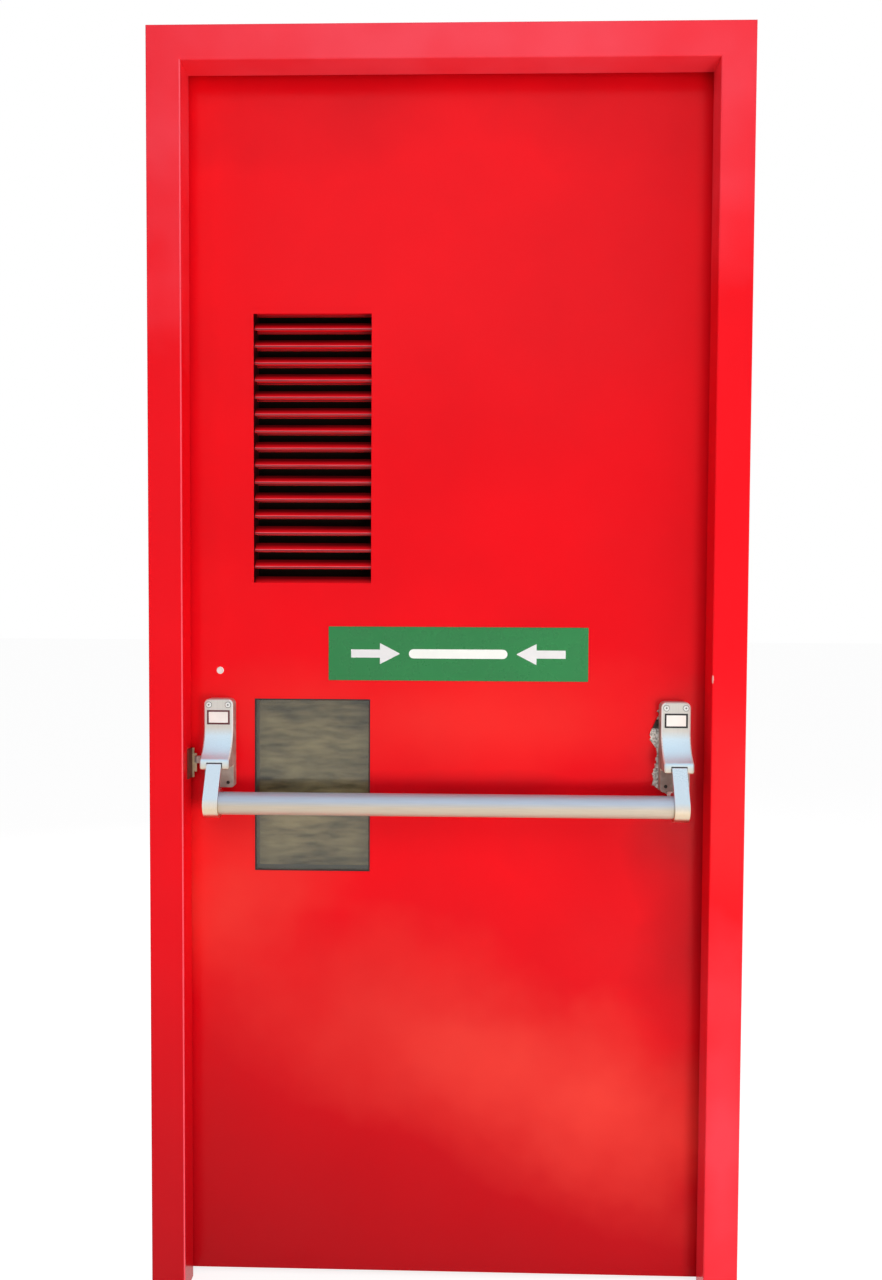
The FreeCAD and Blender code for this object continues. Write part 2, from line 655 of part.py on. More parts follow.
def push_bar_tube():
    """The round bar, seated to the floor of both sockets."""
    into = ARM_WIDTH / 2 - SOCKET_FLOOR
    start_x = LOCK_CASE_X - into
    length = HINGE_CASE_X + into - start_x
    tube = rod(BAR_RADIUS, (start_x, BAR_Y, BAR_Z), (1, 0, 0), length)
    return tube.cut(rod(BAR_RADIUS - BAR_WALL, (start_x, BAR_Y, BAR_Z), (1, 0, 0), length))


def bolt_blank(extra):
    """The latch bolt before its bevel, grown by a clearance for the openings that guide it."""
    half = BOLT_HEIGHT / 2 + extra
    front_y = BOLT_BACK_Y - BOLT_THICKNESS - extra
    return block((BOLT_TIP_X - extra, front_y, PIVOT_Z - half),
                 (BOLT_TIP_X + BOLT_LENGTH + extra, BOLT_BACK_Y + extra, PIVOT_Z + half))


def latch_bolt():
    """The sliding bolt, bevelled on the room side so that it rides over the keeper."""
    front_y = BOLT_BACK_Y - BOLT_THICKNESS
    corners = [
        (BOLT_TIP_X, BOLT_BACK_Y, 0),
        (BOLT_TIP_X, front_y + BOLT_BEVEL, 0),
        (BOLT_TIP_X + BOLT_BEVEL, front_y, 0),
        (BOLT_TIP_X + BOLT_LENGTH, front_y, 0),
        (BOLT_TIP_X + BOLT_LENGTH, BOLT_BACK_Y, 0),
    ]
    return prism("XY", corners, PIVOT_Z - BOLT_HEIGHT / 2, BOLT_HEIGHT)


def strike_keeper():
    """An angle on the lock jamb's reveal, with a catch standing out where the bolt bears."""
    low_z = KEEPER_MIDDLE_Z - KEEPER_HEIGHT / 2
    catch_z = KEEPER_MIDDLE_Z - CATCH_HEIGHT / 2
    high_z = low_z + KEEPER_HEIGHT
    front_y = KEEPER_BACK_Y - KEEPER_LENGTH
    stand_y = KEEPER_BACK_Y - KEEPER_UPSTAND
    leg = block((LOCK_REVEAL_X, front_y, low_z), (LOCK_REVEAL_X + KEEPER_SHEET, KEEPER_BACK_Y, high_z))
    stand = block((LOCK_REVEAL_X, stand_y, low_z), (LOCK_REVEAL_X + KEEPER_REACH, KEEPER_BACK_Y, high_z))
    catch = block((LOCK_REVEAL_X, stand_y, catch_z),
                  (LOCK_REVEAL_X + CATCH_REACH, KEEPER_BACK_Y, catch_z + CATCH_HEIGHT))
    return leg.fuse([stand, catch]).removeSplitter()


def all_nodes():
    """Every piece of the door by name."""
    nodes = {
        "frame_head": frame_head(),
        "hinge_jamb": hinge_jamb(),
        "lock_jamb": across_frame(hinge_jamb()),
        "hinge_jamb_anchors": hinge_jamb_anchors(),
        "lock_jamb_anchors": across_frame(hinge_jamb_anchors()),
        "strike_keeper": strike_keeper(),
        "leaf_skin_inside": leaf_skin_inside(),
        "leaf_skin_outside": leaf_skin_outside(),
        "leaf_core": leaf_core(),
        "leaf_top_channel": edge_channel(LEAF_TOP_Z, -1),
        "leaf_bottom_channel": edge_channel(LEAF_BOTTOM_Z, 1),
        "louvre_casing": louvre_casing(),
        "louvre_blades": louvre_blades(),
        "vision_glass": vision_glass(),
        "vision_casing": vision_casing(),
        "vision_bead": vision_bead(),
        "exit_sign_plate": exit_sign_plate(),
        "push_bar_tube": push_bar_tube(),
        "latch_bolt": latch_bolt(),
    }
    for name, level in hinge_levels().items():
        nodes[name + "_hinge_jamb_plate"] = hinge_jamb_half(level)
        nodes[name + "_hinge_leaf_plate"] = hinge_leaf_half(level)
    for name, middle_x, inward in (("lock", LOCK_CASE_X, 1), ("hinge", HINGE_CASE_X, -1)):
        at_lock = name == "lock"
        nodes[name + "_case_cover"] = case_cover(middle_x, at_lock)
        nodes[name + "_case_base"] = case_base(middle_x, at_lock)
        nodes[name + "_case_pivot_pin"] = pivot_pin(middle_x)
        nodes[name + "_lever_arm"] = lever_arm(middle_x, inward)
    return nodes


os.makedirs("parts", exist_ok=True)
for node, shape in all_nodes().items():
    shape.exportStep("parts/" + node + ".step")
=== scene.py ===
import functools
import json
import math

import bpy
from bpy.props import FloatProperty, FloatVectorProperty, IntProperty, PointerProperty
from mathutils import Euler, Matrix, Vector

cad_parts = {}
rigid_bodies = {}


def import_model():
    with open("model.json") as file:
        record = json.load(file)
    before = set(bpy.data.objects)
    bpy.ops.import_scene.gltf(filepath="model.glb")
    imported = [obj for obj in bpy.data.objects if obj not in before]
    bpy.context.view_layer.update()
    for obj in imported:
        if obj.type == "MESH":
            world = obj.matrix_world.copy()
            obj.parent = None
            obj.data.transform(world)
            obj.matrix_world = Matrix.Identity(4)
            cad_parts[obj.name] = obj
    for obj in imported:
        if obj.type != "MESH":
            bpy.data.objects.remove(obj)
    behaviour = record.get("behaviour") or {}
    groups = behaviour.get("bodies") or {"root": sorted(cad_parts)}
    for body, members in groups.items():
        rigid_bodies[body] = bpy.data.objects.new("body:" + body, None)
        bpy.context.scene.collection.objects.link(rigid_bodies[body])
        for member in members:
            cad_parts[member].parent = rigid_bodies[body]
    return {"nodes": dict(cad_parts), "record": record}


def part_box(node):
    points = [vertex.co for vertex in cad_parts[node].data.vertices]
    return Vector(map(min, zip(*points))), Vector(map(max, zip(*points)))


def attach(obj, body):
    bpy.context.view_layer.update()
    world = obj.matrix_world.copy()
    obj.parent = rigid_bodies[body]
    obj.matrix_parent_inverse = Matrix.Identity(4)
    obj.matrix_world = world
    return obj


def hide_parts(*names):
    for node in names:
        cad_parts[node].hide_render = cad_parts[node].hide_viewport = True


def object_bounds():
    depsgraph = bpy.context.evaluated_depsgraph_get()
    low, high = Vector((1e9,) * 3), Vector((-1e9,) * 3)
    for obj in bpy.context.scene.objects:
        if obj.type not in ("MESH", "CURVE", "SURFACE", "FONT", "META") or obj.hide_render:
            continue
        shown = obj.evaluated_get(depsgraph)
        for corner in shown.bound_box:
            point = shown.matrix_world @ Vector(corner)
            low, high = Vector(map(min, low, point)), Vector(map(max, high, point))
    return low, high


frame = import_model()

bl_info = {
    "name": "Steel Utility Door",
    "version": (1, 0, 0),
    "blender": (4, 5, 0),
    "location": "View3D > Sidebar > Steel Door",
    "description": "Finishes a red steel utility door with a push bar and lights it for a picture",
    "category": "Mesh",
}

# The CAD box, kept before anything is added
CAD_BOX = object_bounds()

# Which body carries each CAD piece
BODY_OF = {n: b for b, names in frame["record"]["behaviour"]["bodies"].items() for n in names}

# Points closer than this are one point, in metres
MERGE = 0.00001
MM = 0.001

# The leaf's face on the side of the bar
LEAF_FACE_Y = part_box("leaf_skin_inside")[0].y

# A turn from lying flat to facing the room
UPRIGHT = (math.pi / 2, 0, 0)

# The Mix node set to colours: the sockets of its share, its two colours and its result
COLOURS = {"data_type": "RGBA", "sockets": (0, 6, 7), "output": 2}

# Most values of a cloudy pattern lie between these
CLOUDY = (0.3, 0.7)

WHITE = (1, 1, 1, 1)


def linear(hex_colour):
    """An sRGB hex colour as linear red, green, blue and alpha."""
    channels = [int(hex_colour[i:i + 2], 16) / 255 for i in (1, 3, 5)]
    return [c / 12.92 if c <= 0.04045 else ((c + 0.055) / 1.055) ** 2.4 for c in channels] + [1.0]


def colour(name, description, hex_colour):
    """A colour that a user would change."""
    return FloatVectorProperty(name=name, description=description, subtype="COLOR", size=4,
                               min=0.0, max=1.0, default=linear(hex_colour))


def length(name, description, default):
    """A size that a user would change, in metres."""
    return FloatProperty(name=name, description=description, default=default, min=0.0,
                         precision=5, unit="LENGTH")


class DoorColours(bpy.types.PropertyGroup):
    """Colours of the door's finishes."""

    frame_enamel: colour("Frame enamel", "Gloss enamel on the pressed frame", "#F80E1C")
    # Also the painted shade towards the frame's foot
    frame_shade: colour("Frame enamel shade", "The same enamel where it is thin or grimed", "#B80C18")
    # Painted sheen on the frame, and the painted highlight along the lock jamb's fold
    frame_bloom: colour("Frame bloom", "The same enamel where it has chalked or worn thin", "#FB5464")
    leaf_enamel: colour("Leaf enamel", "Gloss enamel on the leaf and the louvre", "#F40A18")
    # Also the painted shade at the leaf's foot, rims and behind the bar
    leaf_shade: colour("Leaf enamel shade", "The same enamel where it is thin or grimed", "#A80814")
    # Painted sheen on the leaf
    leaf_bloom: colour("Leaf bloom", "The same enamel where it has chalked", "#F5483C")
    # Painted shade deep in the louvre and on its casing
    louvre_shade: colour("Louvre shade", "Grimed enamel deep in the louvre", "#2C0206")
    # Painted shade on the blades' upright lips
    louvre_upright: colour("Louvre upright", "Grimed enamel on the blades' upright lips", "#8A0812")
    # Painted highlight along the blades' bends
    louvre_bend: colour("Louvre bend", "Worn enamel along the blades' bends", "#EC6874")
    primer: colour("Primer", "Pale undercoat where the enamel has chipped", "#E8A8A0")
    satin_metal: colour("Satin metal", "Plated push bar cases", "#DAD6CE")
    # Painted reflection of the sky, in the cases' scoop and on the noses
    scoop_metal: colour("Scoop metal", "The same plating in the cases' scoop, less handled", "#DEEEF6")
    lever_metal: colour("Lever metal", "Plated levers of the push bar", "#EDEEF0")
    # Painted reflection of the warm ground on the lower ends of levers and noses
    lever_tarnish: colour("Lever tarnish", "Lower ends of levers and noses, warmed by hands", "#E2D0B4")
    # On the cases' sides and foot it is a painted shade
    cast_metal: colour("Cast metal", "Latch bolt, and bare sides and feet of the push bar cases", "#C2B8AC")
    cast_stain: colour("Cast stain", "Brown stains on the same castings", "#9C8A7E")
    # Its blue tint is a painted reflection of the sky above
    bar_metal: colour("Bar metal", "Brushed tube of the push bar, on top", "#B4BECC")
    # Painted reflection of the warm ground under the tube
    bar_tarnish: colour("Bar tarnish", "The same tube underneath, where hands have warmed it", "#CCC0AC")
    # On the cases' rims it is a painted highlight
    bright_metal: colour("Bright metal", "Heads of the case screws and the cases' rims", "#F0EEEA")
    plain_steel: colour("Plain steel", "Hinges, bases, pins and the torn lip's edge", "#A9A6A1")
    # Painted shade in recesses and holes
    dark_steel: colour("Dark steel", "Recesses and blind holes", "#4A4642")
    galvanised: colour("Galvanised steel", "Wall anchors and the pane's lining", "#8F8B84")
    zinc: colour("Passivated zinc", "Strike keeper", "#DCC6A0")
    # Painted shade and painted reflection of the red reveal on the keeper's leg
    old_paint: colour("Old paint", "Paint left on the keeper's leg", "#6A2A20")
    sign_green: colour("Sign green", "Acrylic sign plate", "#1E7A3E")
    sign_white: colour("Sign white", "Vinyl mark on the sign", "#F4F7F0")
    label_white: colour("Label white", "Bare label plates, eyelet and washer", "#F2ECE6")
    label_red: colour("Label red", "Border of the lock-side label", "#571820")
    label_black: colour("Label black", "Border of the hinge-side label", "#1E1A1A")
    filler: colour("Filler", "Crumbled filler in the torn skin", "#E4E0D8")
    # Painted shade in the hollows of the filler and the board
    filler_shade: colour("Filler shade", "Hollows of the crumbled filler", "#8C867C")
    board: colour("Infill board", "Mineral board inside the leaf", "#5E544A")
    glass: colour("Glass", "Clear pane of the vision panel", "#E6EAE4")
    mastic: colour("Mastic", "Sealing line round the pane", "#2A1A18")
    floor: colour("Floor", "Plain pale studio floor", "#EDEBE8")
    upper_studio: colour("Upper studio", "Pale light from above", "#DEF2FF")
    # Painted shade: the dark behind the louvre
    louvre_card: colour("Louvre card", "Dark card at the back of the louvre", "#16130F")
    pane_card: colour("Pane card", "Brown card behind the pane", "#BCA47C")
    pane_streak: colour("Pane card streaks", "Darker streaks of the same card", "#443A28")


class DoorSizes(bpy.types.PropertyGroup):
    """Sizes of what is added to the CAD pieces."""

    edge: length("Eased edge", "Rounding of sharp sheet and plate edges", 0.0004)
    blade_edge: length("Blade edge", "Rounding of the louvre blades' bends", 0.0009)
    casting_edge: length("Casting edge", "Rounding of the cases' and levers' edges", 0.0012)
    case_face: length("Case face", "Depth of the cases' flat face in front of the leaf", 0.024)
    foot_face: length("Foot face", "Depth of the cases' foot in front of the leaf", 0.020)
    nose_foot: length("Nose foot", "Height of the cases' nose above their lower edge", 0.0360)
    nose_round: length("Nose round", "Rounding of the noses' lower corners", 0.0050)
    nose_height: length("Nose height", "Height of the cases' nose itself", 0.0165)
    hole_radius: length("Foot hole radius", "Radius of the blind hole in a case's foot", 0.0030)
    hole_depth: length("Foot hole depth", "Depth of the blind hole in a case's foot", 0.0016)
    hole_offset: length("Foot hole offset", "From the middle of the case across to the hole", 0.0155)
    hole_height: length("Foot hole height", "From the case's lower edge up to the hole", 0.0085)
    label_width: length("Label width", "Width of a label plate", 0.0394)
    label_height: length("Label height", "Height of a label plate", 0.0250)
    label_thickness: length("Label thickness", "Thickness of a label plate", 0.0006)
    label_border: length("Label border", "Width of the coloured border", 0.0032)
    label_drop: length("Label drop", "Top of the case down to the top of the label", 0.0190)
    screw_radius: length("Screw radius", "Radius of a case screw's head", 0.0047)
    screw_height: length("Screw height", "How far a case screw's head stands out", 0.0012)
    screw_spread: length("Screw spread", "Distance between the two upper screws of a case", 0.0330)
    screw_drop: length("Screw drop", "Top of the case down to its screws", 0.0100)
    eyelet_radius: length("Eyelet radius", "Outer radius of the eyelet on the leaf", 0.0050)
    eyelet_height: length("Eyelet height", "Height of the eyelet above the floor", 1.0736)
    eyelet_offset: length("Eyelet offset", "From the lock-side case's edge across to the eyelet", 0.0225)
    washer_radius: length("Washer radius", "Outer radius of the washer on the leaf", 0.0052)
    washer_depth: length("Washer depth", "How far the washer stands out", 0.0050)
    washer_offset: length("Washer offset", "From the hinge-side case's edge across to the washer", 0.0210)
    washer_drop: length("Washer drop", "From the hinge-side case's foot down to the washer", 0.0070)
    seal_width: length("Seal width", "Width of the mastic line round the pane", 0.0025)
    lining_sheet: length("Lining sheet", "Thickness of the sheet round the louvre and the pane", 0.0012)
    tear_depth: length("Tear depth", "Depth of the broken pocket behind the torn skin", 0.0140)
    tear_seed: IntProperty(name="Tear seed", description="Seed of the torn outline", default=4, min=0)


def object_mode():
    """Leaves edit mode."""
    if bpy.context.mode != "OBJECT":
        bpy.ops.object.mode_set(mode="OBJECT")


def edit_mode(select=None):
    """Goes into edit mode on the active piece, and selects everything or nothing if told to."""
    bpy.ops.object.mode_set(mode="EDIT")
    if select:
        bpy.ops.mesh.select_all(action=select)


def only(*pieces):
    """Leaves edit mode and selects these objects alone, if any, the first one active."""
    object_mode()
    bpy.ops.object.select_all(action="DESELECT")
    for piece in pieces:
        piece.select_set(True)
    if pieces:
        bpy.context.view_layer.objects.active = pieces[0]


def pick(piece, kind, wanted):
    """Goes into edit mode with only those faces, edges or points selected that pass the test."""
    only(piece)
    edit_mode()
    bpy.ops.mesh.select_mode(type=kind)
    bpy.ops.mesh.select_all(action="DESELECT")
    object_mode()
    mesh = piece.data
    for element in {"FACE": mesh.polygons, "EDGE": mesh.edges, "VERT": mesh.vertices}[kind]:
        element.select = wanted(element)
    edit_mode()


def faces_room(face):
    """True for a face that looks out into the room."""
    return face.normal.y < -0.5


def pull(move):
    """Extrudes the selected faces by a move."""
    bpy.ops.mesh.extrude_region_move(TRANSFORM_OT_translate={"value": move})


def discard(piece):
    """Deletes a piece that was only a tool."""
    only(piece)
    bpy.ops.object.delete()


def apply_place(piece):
    """Puts a piece's place, turn and size into its mesh."""
    only(piece)
    bpy.ops.object.transform_apply(location=True, rotation=True, scale=True)


def apply_modifier(piece, kind, **settings):
    """Adds a modifier with its settings and applies it."""
    only(piece)
    modifier = piece.modifiers.new(kind.title(), kind)
    for key, value in settings.items():
        setattr(modifier, key, value)
    bpy.ops.object.modifier_apply(modifier=modifier.name)


def start(primitive, **settings):
    """A primitive as a start, with its place and turn in its mesh."""
    only()
    primitive(**settings)
    piece = bpy.context.object
    apply_place(piece)
    return piece


def block(low, high):
    """A cube primitive between two corners."""
    low = Vector(low)
    high = Vector(high)
    return start(bpy.ops.mesh.primitive_cube_add, size=1.0, location=(low + high) / 2, scale=high - low)


def disc(centre, radius, depth, sides=40):
    """A round primitive whose axis runs from the room to the leaf."""
    return start(bpy.ops.mesh.primitive_cylinder_add, vertices=sides, radius=radius, depth=depth,
                 location=centre, rotation=UPRIGHT)


def ease(piece, width, steps=2):
    """Rounds the sharp edges."""
    apply_modifier(piece, "BEVEL", width=width, segments=steps, limit_method="ANGLE",
                   angle_limit=math.radians(40))


def smooth(piece):
    """Smooth shading over rounds, flat shading on flats."""
    only(piece)
    bpy.ops.object.shade_smooth_by_angle(angle=math.radians(35))
    apply_modifier(piece, "WEIGHTED_NORMAL", keep_sharp=True, weight=100)


def copy_of(piece, move=(0, 0, 0)):
    """A copy with its own mesh, moved."""
    only(piece)
    bpy.ops.object.duplicate(linked=False)
    twin = bpy.context.object
    bpy.ops.transform.translate(value=move)
    apply_place(twin)
    return twin


def cut(piece, tool, how="DIFFERENCE"):
    """Cuts a piece with a tool, which is then deleted."""
    before = max(piece.dimensions)
    apply_modifier(piece, "BOOLEAN", operation=how, solver="EXACT", object=tool)
    discard(tool)
    if not piece.data.polygons or max(piece.dimensions) > before + MERGE:
        raise RuntimeError("the cut of " + piece.name + " failed")


def join(pieces):
    """Several meshes as one piece."""
    only(*pieces)
    bpy.ops.object.join()
    return pieces[0]


def paint(piece, *finishes):
    """Gives a piece these finishes in place of its own, and makes each the first time it is used."""
    piece.data.materials.clear()
    for name in finishes:
        piece.data.materials.append(bpy.data.materials.get(name) or make_finish(name))


def paint_faces(piece, index, wanted):
    """Gives one of a piece's finishes to the faces that pass the test."""
    for face in piece.data.polygons:
        if wanted(face):
            face.material_index = index


def paint_picked(piece, index):
    """Gives one of a piece's finishes to the faces that are selected in edit mode."""
    piece.active_material_index = index
    bpy.ops.object.material_slot_assign()


def settle(piece, name, body):
    """Names a finished piece and lets it ride on a body."""
    piece.name = name
    piece.data.name = name
    smooth(piece)
    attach(piece, body)


def merged_copy(node):
    """A copy of a CAD piece as one joined mesh with clean flat faces."""
    only(frame["nodes"][node])
    bpy.ops.object.duplicate(linked=False)
    piece = bpy.context.object
    bpy.ops.object.parent_clear(type="CLEAR_KEEP_TRANSFORM")
    for key in list(piece.keys()):
        del piece[key]
    bpy.ops.mesh.customdata_custom_splitnormals_clear()
    edit_mode("SELECT")
    bpy.ops.mesh.remove_doubles(threshold=MERGE)
    bpy.ops.mesh.dissolve_limited(angle_limit=math.radians(0.5))
    object_mode()
    return piece


def dressed(node, *finishes, edge=0.0, steps=2, tools=(), faces=()):
    """A copy of a CAD piece, eased, cut and painted, that stands for it on the same body."""
    piece = merged_copy(node)
    if edge:
        ease(piece, edge, steps)
    for tool in tools:
        cut(piece, tool)
    paint(piece, *finishes)
    for index, wanted in faces:
        paint_faces(piece, index, wanted)
    settle(piece, node + "_finished", BODY_OF[node])
    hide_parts(node)


def add_node(tree, kind, inputs=(), output=0, sockets=range(9), **settings):
    """Adds a node with its settings, fills or links its inputs by order or name, and gives an output."""
    node = tree.nodes.new("ShaderNode" + kind)
    for key, value in settings.items():
        setattr(node, key, value)
    for key, value in inputs.items() if isinstance(inputs, dict) else zip(sockets, inputs):
        if isinstance(value, bpy.types.NodeSocket):
            tree.links.new(value, node.inputs[key])
        else:
            node.inputs[key].default_value = value
    return node.outputs[output] if node.outputs else None


def adder(owner):
    """Empties the node tree of a material or a world, and gives add_node for that tree."""
    owner.use_nodes = True
    owner.node_tree.nodes.clear()
    return functools.partial(add_node, owner.node_tree)


def clouds(add, place, size, detail, stretch=(1.0, 1.0, 1.0)):
    """A cloudy pattern whose patches are about size metres across, drawn out by stretch."""
    spread = add("Mapping", {"Vector": place, "Scale": [1 / s for s in stretch]})
    return add("TexNoise", {"Vector": spread, "Scale": 1 / size, "Detail": detail})


def oval(add, place, centre, half, turn=0.0):
    """How far a place lies from a centre, where 1 is the rim of an oval turned by some degrees about Y."""
    turned = (0, math.radians(turn), 0)
    spot = add("Mapping", (place, centre, turned, half), vector_type="TEXTURE")
    return add("VectorMath", (spot,), "Value", operation="LENGTH")


def sprayed_enamel(add, place, enamel, shade, bloom, patches, right_grime, right_shade, chip=None):
    """Gloss enamel sprayed on folded sheet, with painted sheen and painted shade in patches and a painted
    darker foot.
    """
    # Alkyd enamel, sprayed and air-dried: a wet-looking even red, with slow clouds where the coat
    # is thinner, a fine orange peel and long waves of the sheet under it that bend reflections.
    # In broad soft patches it carries a painted sheen, and a painted shade darkens it towards the floor, at
    # the leaf's rims and behind the bar. Its age shows in a weaker mirror than a fresh coat has.
    uneven = add("MapRange", (clouds(add, place, 0.35, 3.0), *CLOUDY, 0.0, 0.22))
    base = add("Mix", (uneven, enamel, shade), **COLOURS)
    # How high the painted shade at the foot reaches, and where across the painted shadow on the hinge side
    # lies, in metres
    grime_top = 0.75
    thin_from = -0.42
    thin_to = -0.06
    across, _, up = add("SeparateXYZ", (place,)).node.outputs
    side = add("MapRange", (across, CAD_BOX[0].x, CAD_BOX[1].x, 1.0, right_grime))
    # Painted shade that darkens the coat towards the floor
    foot = add("MapRange", (up, 0.0, grime_top, 0.85, 0.0))
    grime = add("Math", (foot, side), operation="MULTIPLY")
    # Painted shadow of the hinge jamb across the leaf's hinge side
    thin = add("MapRange", (across, thin_from, thin_to, 0.0, right_shade))
    dark = add("Math", (grime, thin), operation="MAXIMUM")
    base = add("Mix", (dark, base, shade), **COLOURS)
    # Each patch is painted light: above zero a painted sheen in the lighter tone, below zero a painted shade
    # in the darker one
    for centre_x, centre_z, half_x, half_z, turn, strength in patches:
        reach = oval(add, place, (centre_x, 0, centre_z), (half_x, 1, half_z), turn)
        wander = add("MapRange", (clouds(add, place, 0.2, 3.0), *CLOUDY, -0.25, 0.25))
        reach = add("Math", (reach, wander), operation="ADD")
        share = add("MapRange", (reach, 0.0, 1.0, abs(strength), 0.0))
        tone = bloom if strength > 0 else shade
        base = add("Mix", (share, base, tone), **COLOURS)
    gloss = add("MapRange", (clouds(add, place, 0.12, 4.0), *CLOUDY, 0.16, 0.26))
    if chip is not None:
        centre, half, primer = chip
        reach = oval(add, place, centre, half)
        ragged = add("Math", (reach, clouds(add, place, 0.003, 3.0)), operation="ADD")
        share = add("MapRange", (ragged, 1.35, 1.5, 1.0, 0.0))
        base = add("Mix", (share, base, primer), **COLOURS)
    # The peel is about 1 mm on the real coat, drawn at 3 mm so that it shows
    peel = clouds(add, place, 0.003, 1.0)
    waves = clouds(add, place, 0.28, 1.0)
    bump = add("Bump", {"Height": peel, "Strength": 0.10, "Distance": 0.0002})
    bump = add("Bump", {"Height": waves, "Strength": 0.35, "Distance": 0.004, "Normal": bump})
    return dict(Base_Color=base, Roughness=gloss, IOR=1.48, Specular_IOR_Level=0.12, Normal=bump)


def louvre_enamel(add, place, enamel, shade):
    """Gloss enamel on blades, with a painted shade that darkens them inwards."""
    # The same red coat inside the louvre: clear red along the blades' front edges, turning to maroon
    # towards the ridges by a painted shade that varies a little at random.
    low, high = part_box("louvre_blades")
    middle = (low.y + high.y) / 2
    half = (high.y - low.y) / 2
    depth = add("SeparateXYZ", (place,), "Y")
    offset = add("Math", (depth, middle), operation="SUBTRACT")
    inside = add("Math", (offset,), operation="ABSOLUTE")
    share = add("MapRange", (inside, half * 0.3, half * 0.92, 0.9, 0.0))
    dust = clouds(add, place, 0.05, 3.0, (4.0, 1.0, 1.0))
    dust = add("MapRange", (dust, *CLOUDY, -0.06, 0.06))
    share = add("Math", (share, dust), operation="ADD")
    base = add("Mix", (share, enamel, shade), **COLOURS)
    return dict(Base_Color=base, Roughness=0.35, IOR=1.48, Specular_IOR_Level=0.2)


def brushed_metal(add, place, metal, roughness, grain, lower=None, mirror=1.0):
    """Metal with a fine grain along one axis, and a lower tone that fades out between two heights."""
    # Satin metal, brushed or linished: a soft mirror whose reflections smear across the grain,
    # with faint streaks of brighter and duller lines. Where its mirror is set low it looks paler: on
    # the cases' rims that is a painted highlight. The lower tones given to it are painted reflections.
    if lower is not None:
        tone, from_z, to_z = lower
        height = add("SeparateXYZ", (place,), "Z")
        share = add("MapRange", (height, from_z, to_z, 1.0, 0.0))
        metal = add("Mix", (share, metal, tone), **COLOURS)
    streaks = clouds(add, place, 0.0008, 3.0, grain)
    bright = add("MapRange", (streaks, *CLOUDY, 0.93, 1.04))
    tone = add("HueSaturation", {"Color": metal, "Value": bright})
    smudges = clouds(add, place, 0.04, 2.0)
    dull = add("MapRange", (smudges, *CLOUDY, roughness - 0.04, roughness + 0.05))
    lines = add("MapRange", (streaks, *CLOUDY, -0.03, 0.03))
    rough = add("Math", (dull, lines), operation="ADD")
    bump = add("Bump", {"Height": streaks, "Strength": 0.12, "Distance": 0.00005})
    return dict(Base_Color=tone, Metallic=mirror, Roughness=rough, Normal=bump)


def stained_casting(add, place, metal, stain):
    """Dull die-cast metal: the latch bolt, and a painted shade on the cases' sides and foot."""
    # Zinc alloy as cast: a dull grey that hardly mirrors, with brown stains a thumb's breadth across
    # and a sandy grain. On the cases' sides and foot its dull darker look is a painted shade.
    share = add("MapRange", (clouds(add, place, 0.02, 4.0), 0.35, 0.65, 0.0, 1.0))
    base = add("Mix", (share, metal, stain), **COLOURS)
    rough = add("MapRange", (clouds(add, place, 0.006, 3.0), *CLOUDY, 0.5, 0.65))
    sand = clouds(add, place, 0.0008, 2.0)
    bump = add("Bump", {"Height": sand, "Strength": 0.2, "Distance": 0.0001})
    return dict(Base_Color=base, Metallic=0.35, Roughness=rough, Normal=bump)


def spangled_zinc(add, place, zinc, roughness):
    """Hot-dip galvanised sheet."""
    # Zinc dipped on steel sheet: dull grey with flower-like crystals that catch light differently.
    crystals = add("TexVoronoi", {"Vector": place, "Scale": 1 / 0.008}, "Color")
    shade = add("SeparateColor", (crystals,), "Red")
    bright = add("MapRange", (shade, 0.0, 1.0, 0.85, 1.1))
    tone = add("HueSaturation", {"Color": zinc, "Value": bright})
    rough = add("MapRange", (shade, 0.0, 1.0, roughness - 0.08, roughness + 0.08))
    return dict(Base_Color=tone, Metallic=0.9, Roughness=rough)


def coated(add, place, coat, roughness, patch, speck=0.06, peel=0.0004):
    """Plain plastic, vinyl, ink, mastic or grimed paint, with faint wear."""
    # Moulded or printed surface: one colour with slow tone changes and a slight grain in the gloss.
    bright = add("MapRange", (clouds(add, place, patch, 4.0), *CLOUDY, 1 - speck, 1 + speck))
    tone = add("HueSaturation", {"Color": coat, "Value": bright})
    grain = clouds(add, place, patch / 6, 3.0)
    rough = add("MapRange", (grain, *CLOUDY, roughness - 0.05, roughness + 0.08))
    fine = clouds(add, place, peel, 1.0)
    bump = add("Bump", {"Height": fine, "Strength": 0.05, "Distance": 0.0001})
    return dict(Base_Color=tone, Roughness=rough, Normal=bump)


def crumbled(add, place, light, shade, grit):
    """Broken mineral filler or board."""
    # Perlite and plaster, broken by hand: matt, grey-white, with a painted shade in the hollows between the
    # grains.
    grains = clouds(add, place, grit, 6.0)
    share = add("MapRange", (grains, 0.35, 0.6, 0.0, 1.0))
    base = add("Mix", (share, shade, light), **COLOURS)
    bump = add("Bump", {"Height": grains, "Strength": 0.7, "Distance": grit / 2})
    return dict(Base_Color=base, Roughness=0.9, Normal=bump)


def clear_glass(add, place, glass):
    """A clear glazed pane."""
    # Float glass, 6 mm: sharp reflections over a clear body, with dust that dulls it in places.
    dust = add("MapRange", (clouds(add, place, 0.03, 5.0), 0.45, 0.75, 0.0, 0.06))
    return dict(Base_Color=glass, Roughness=dust, IOR=1.52, Transmission_Weight=1.0)


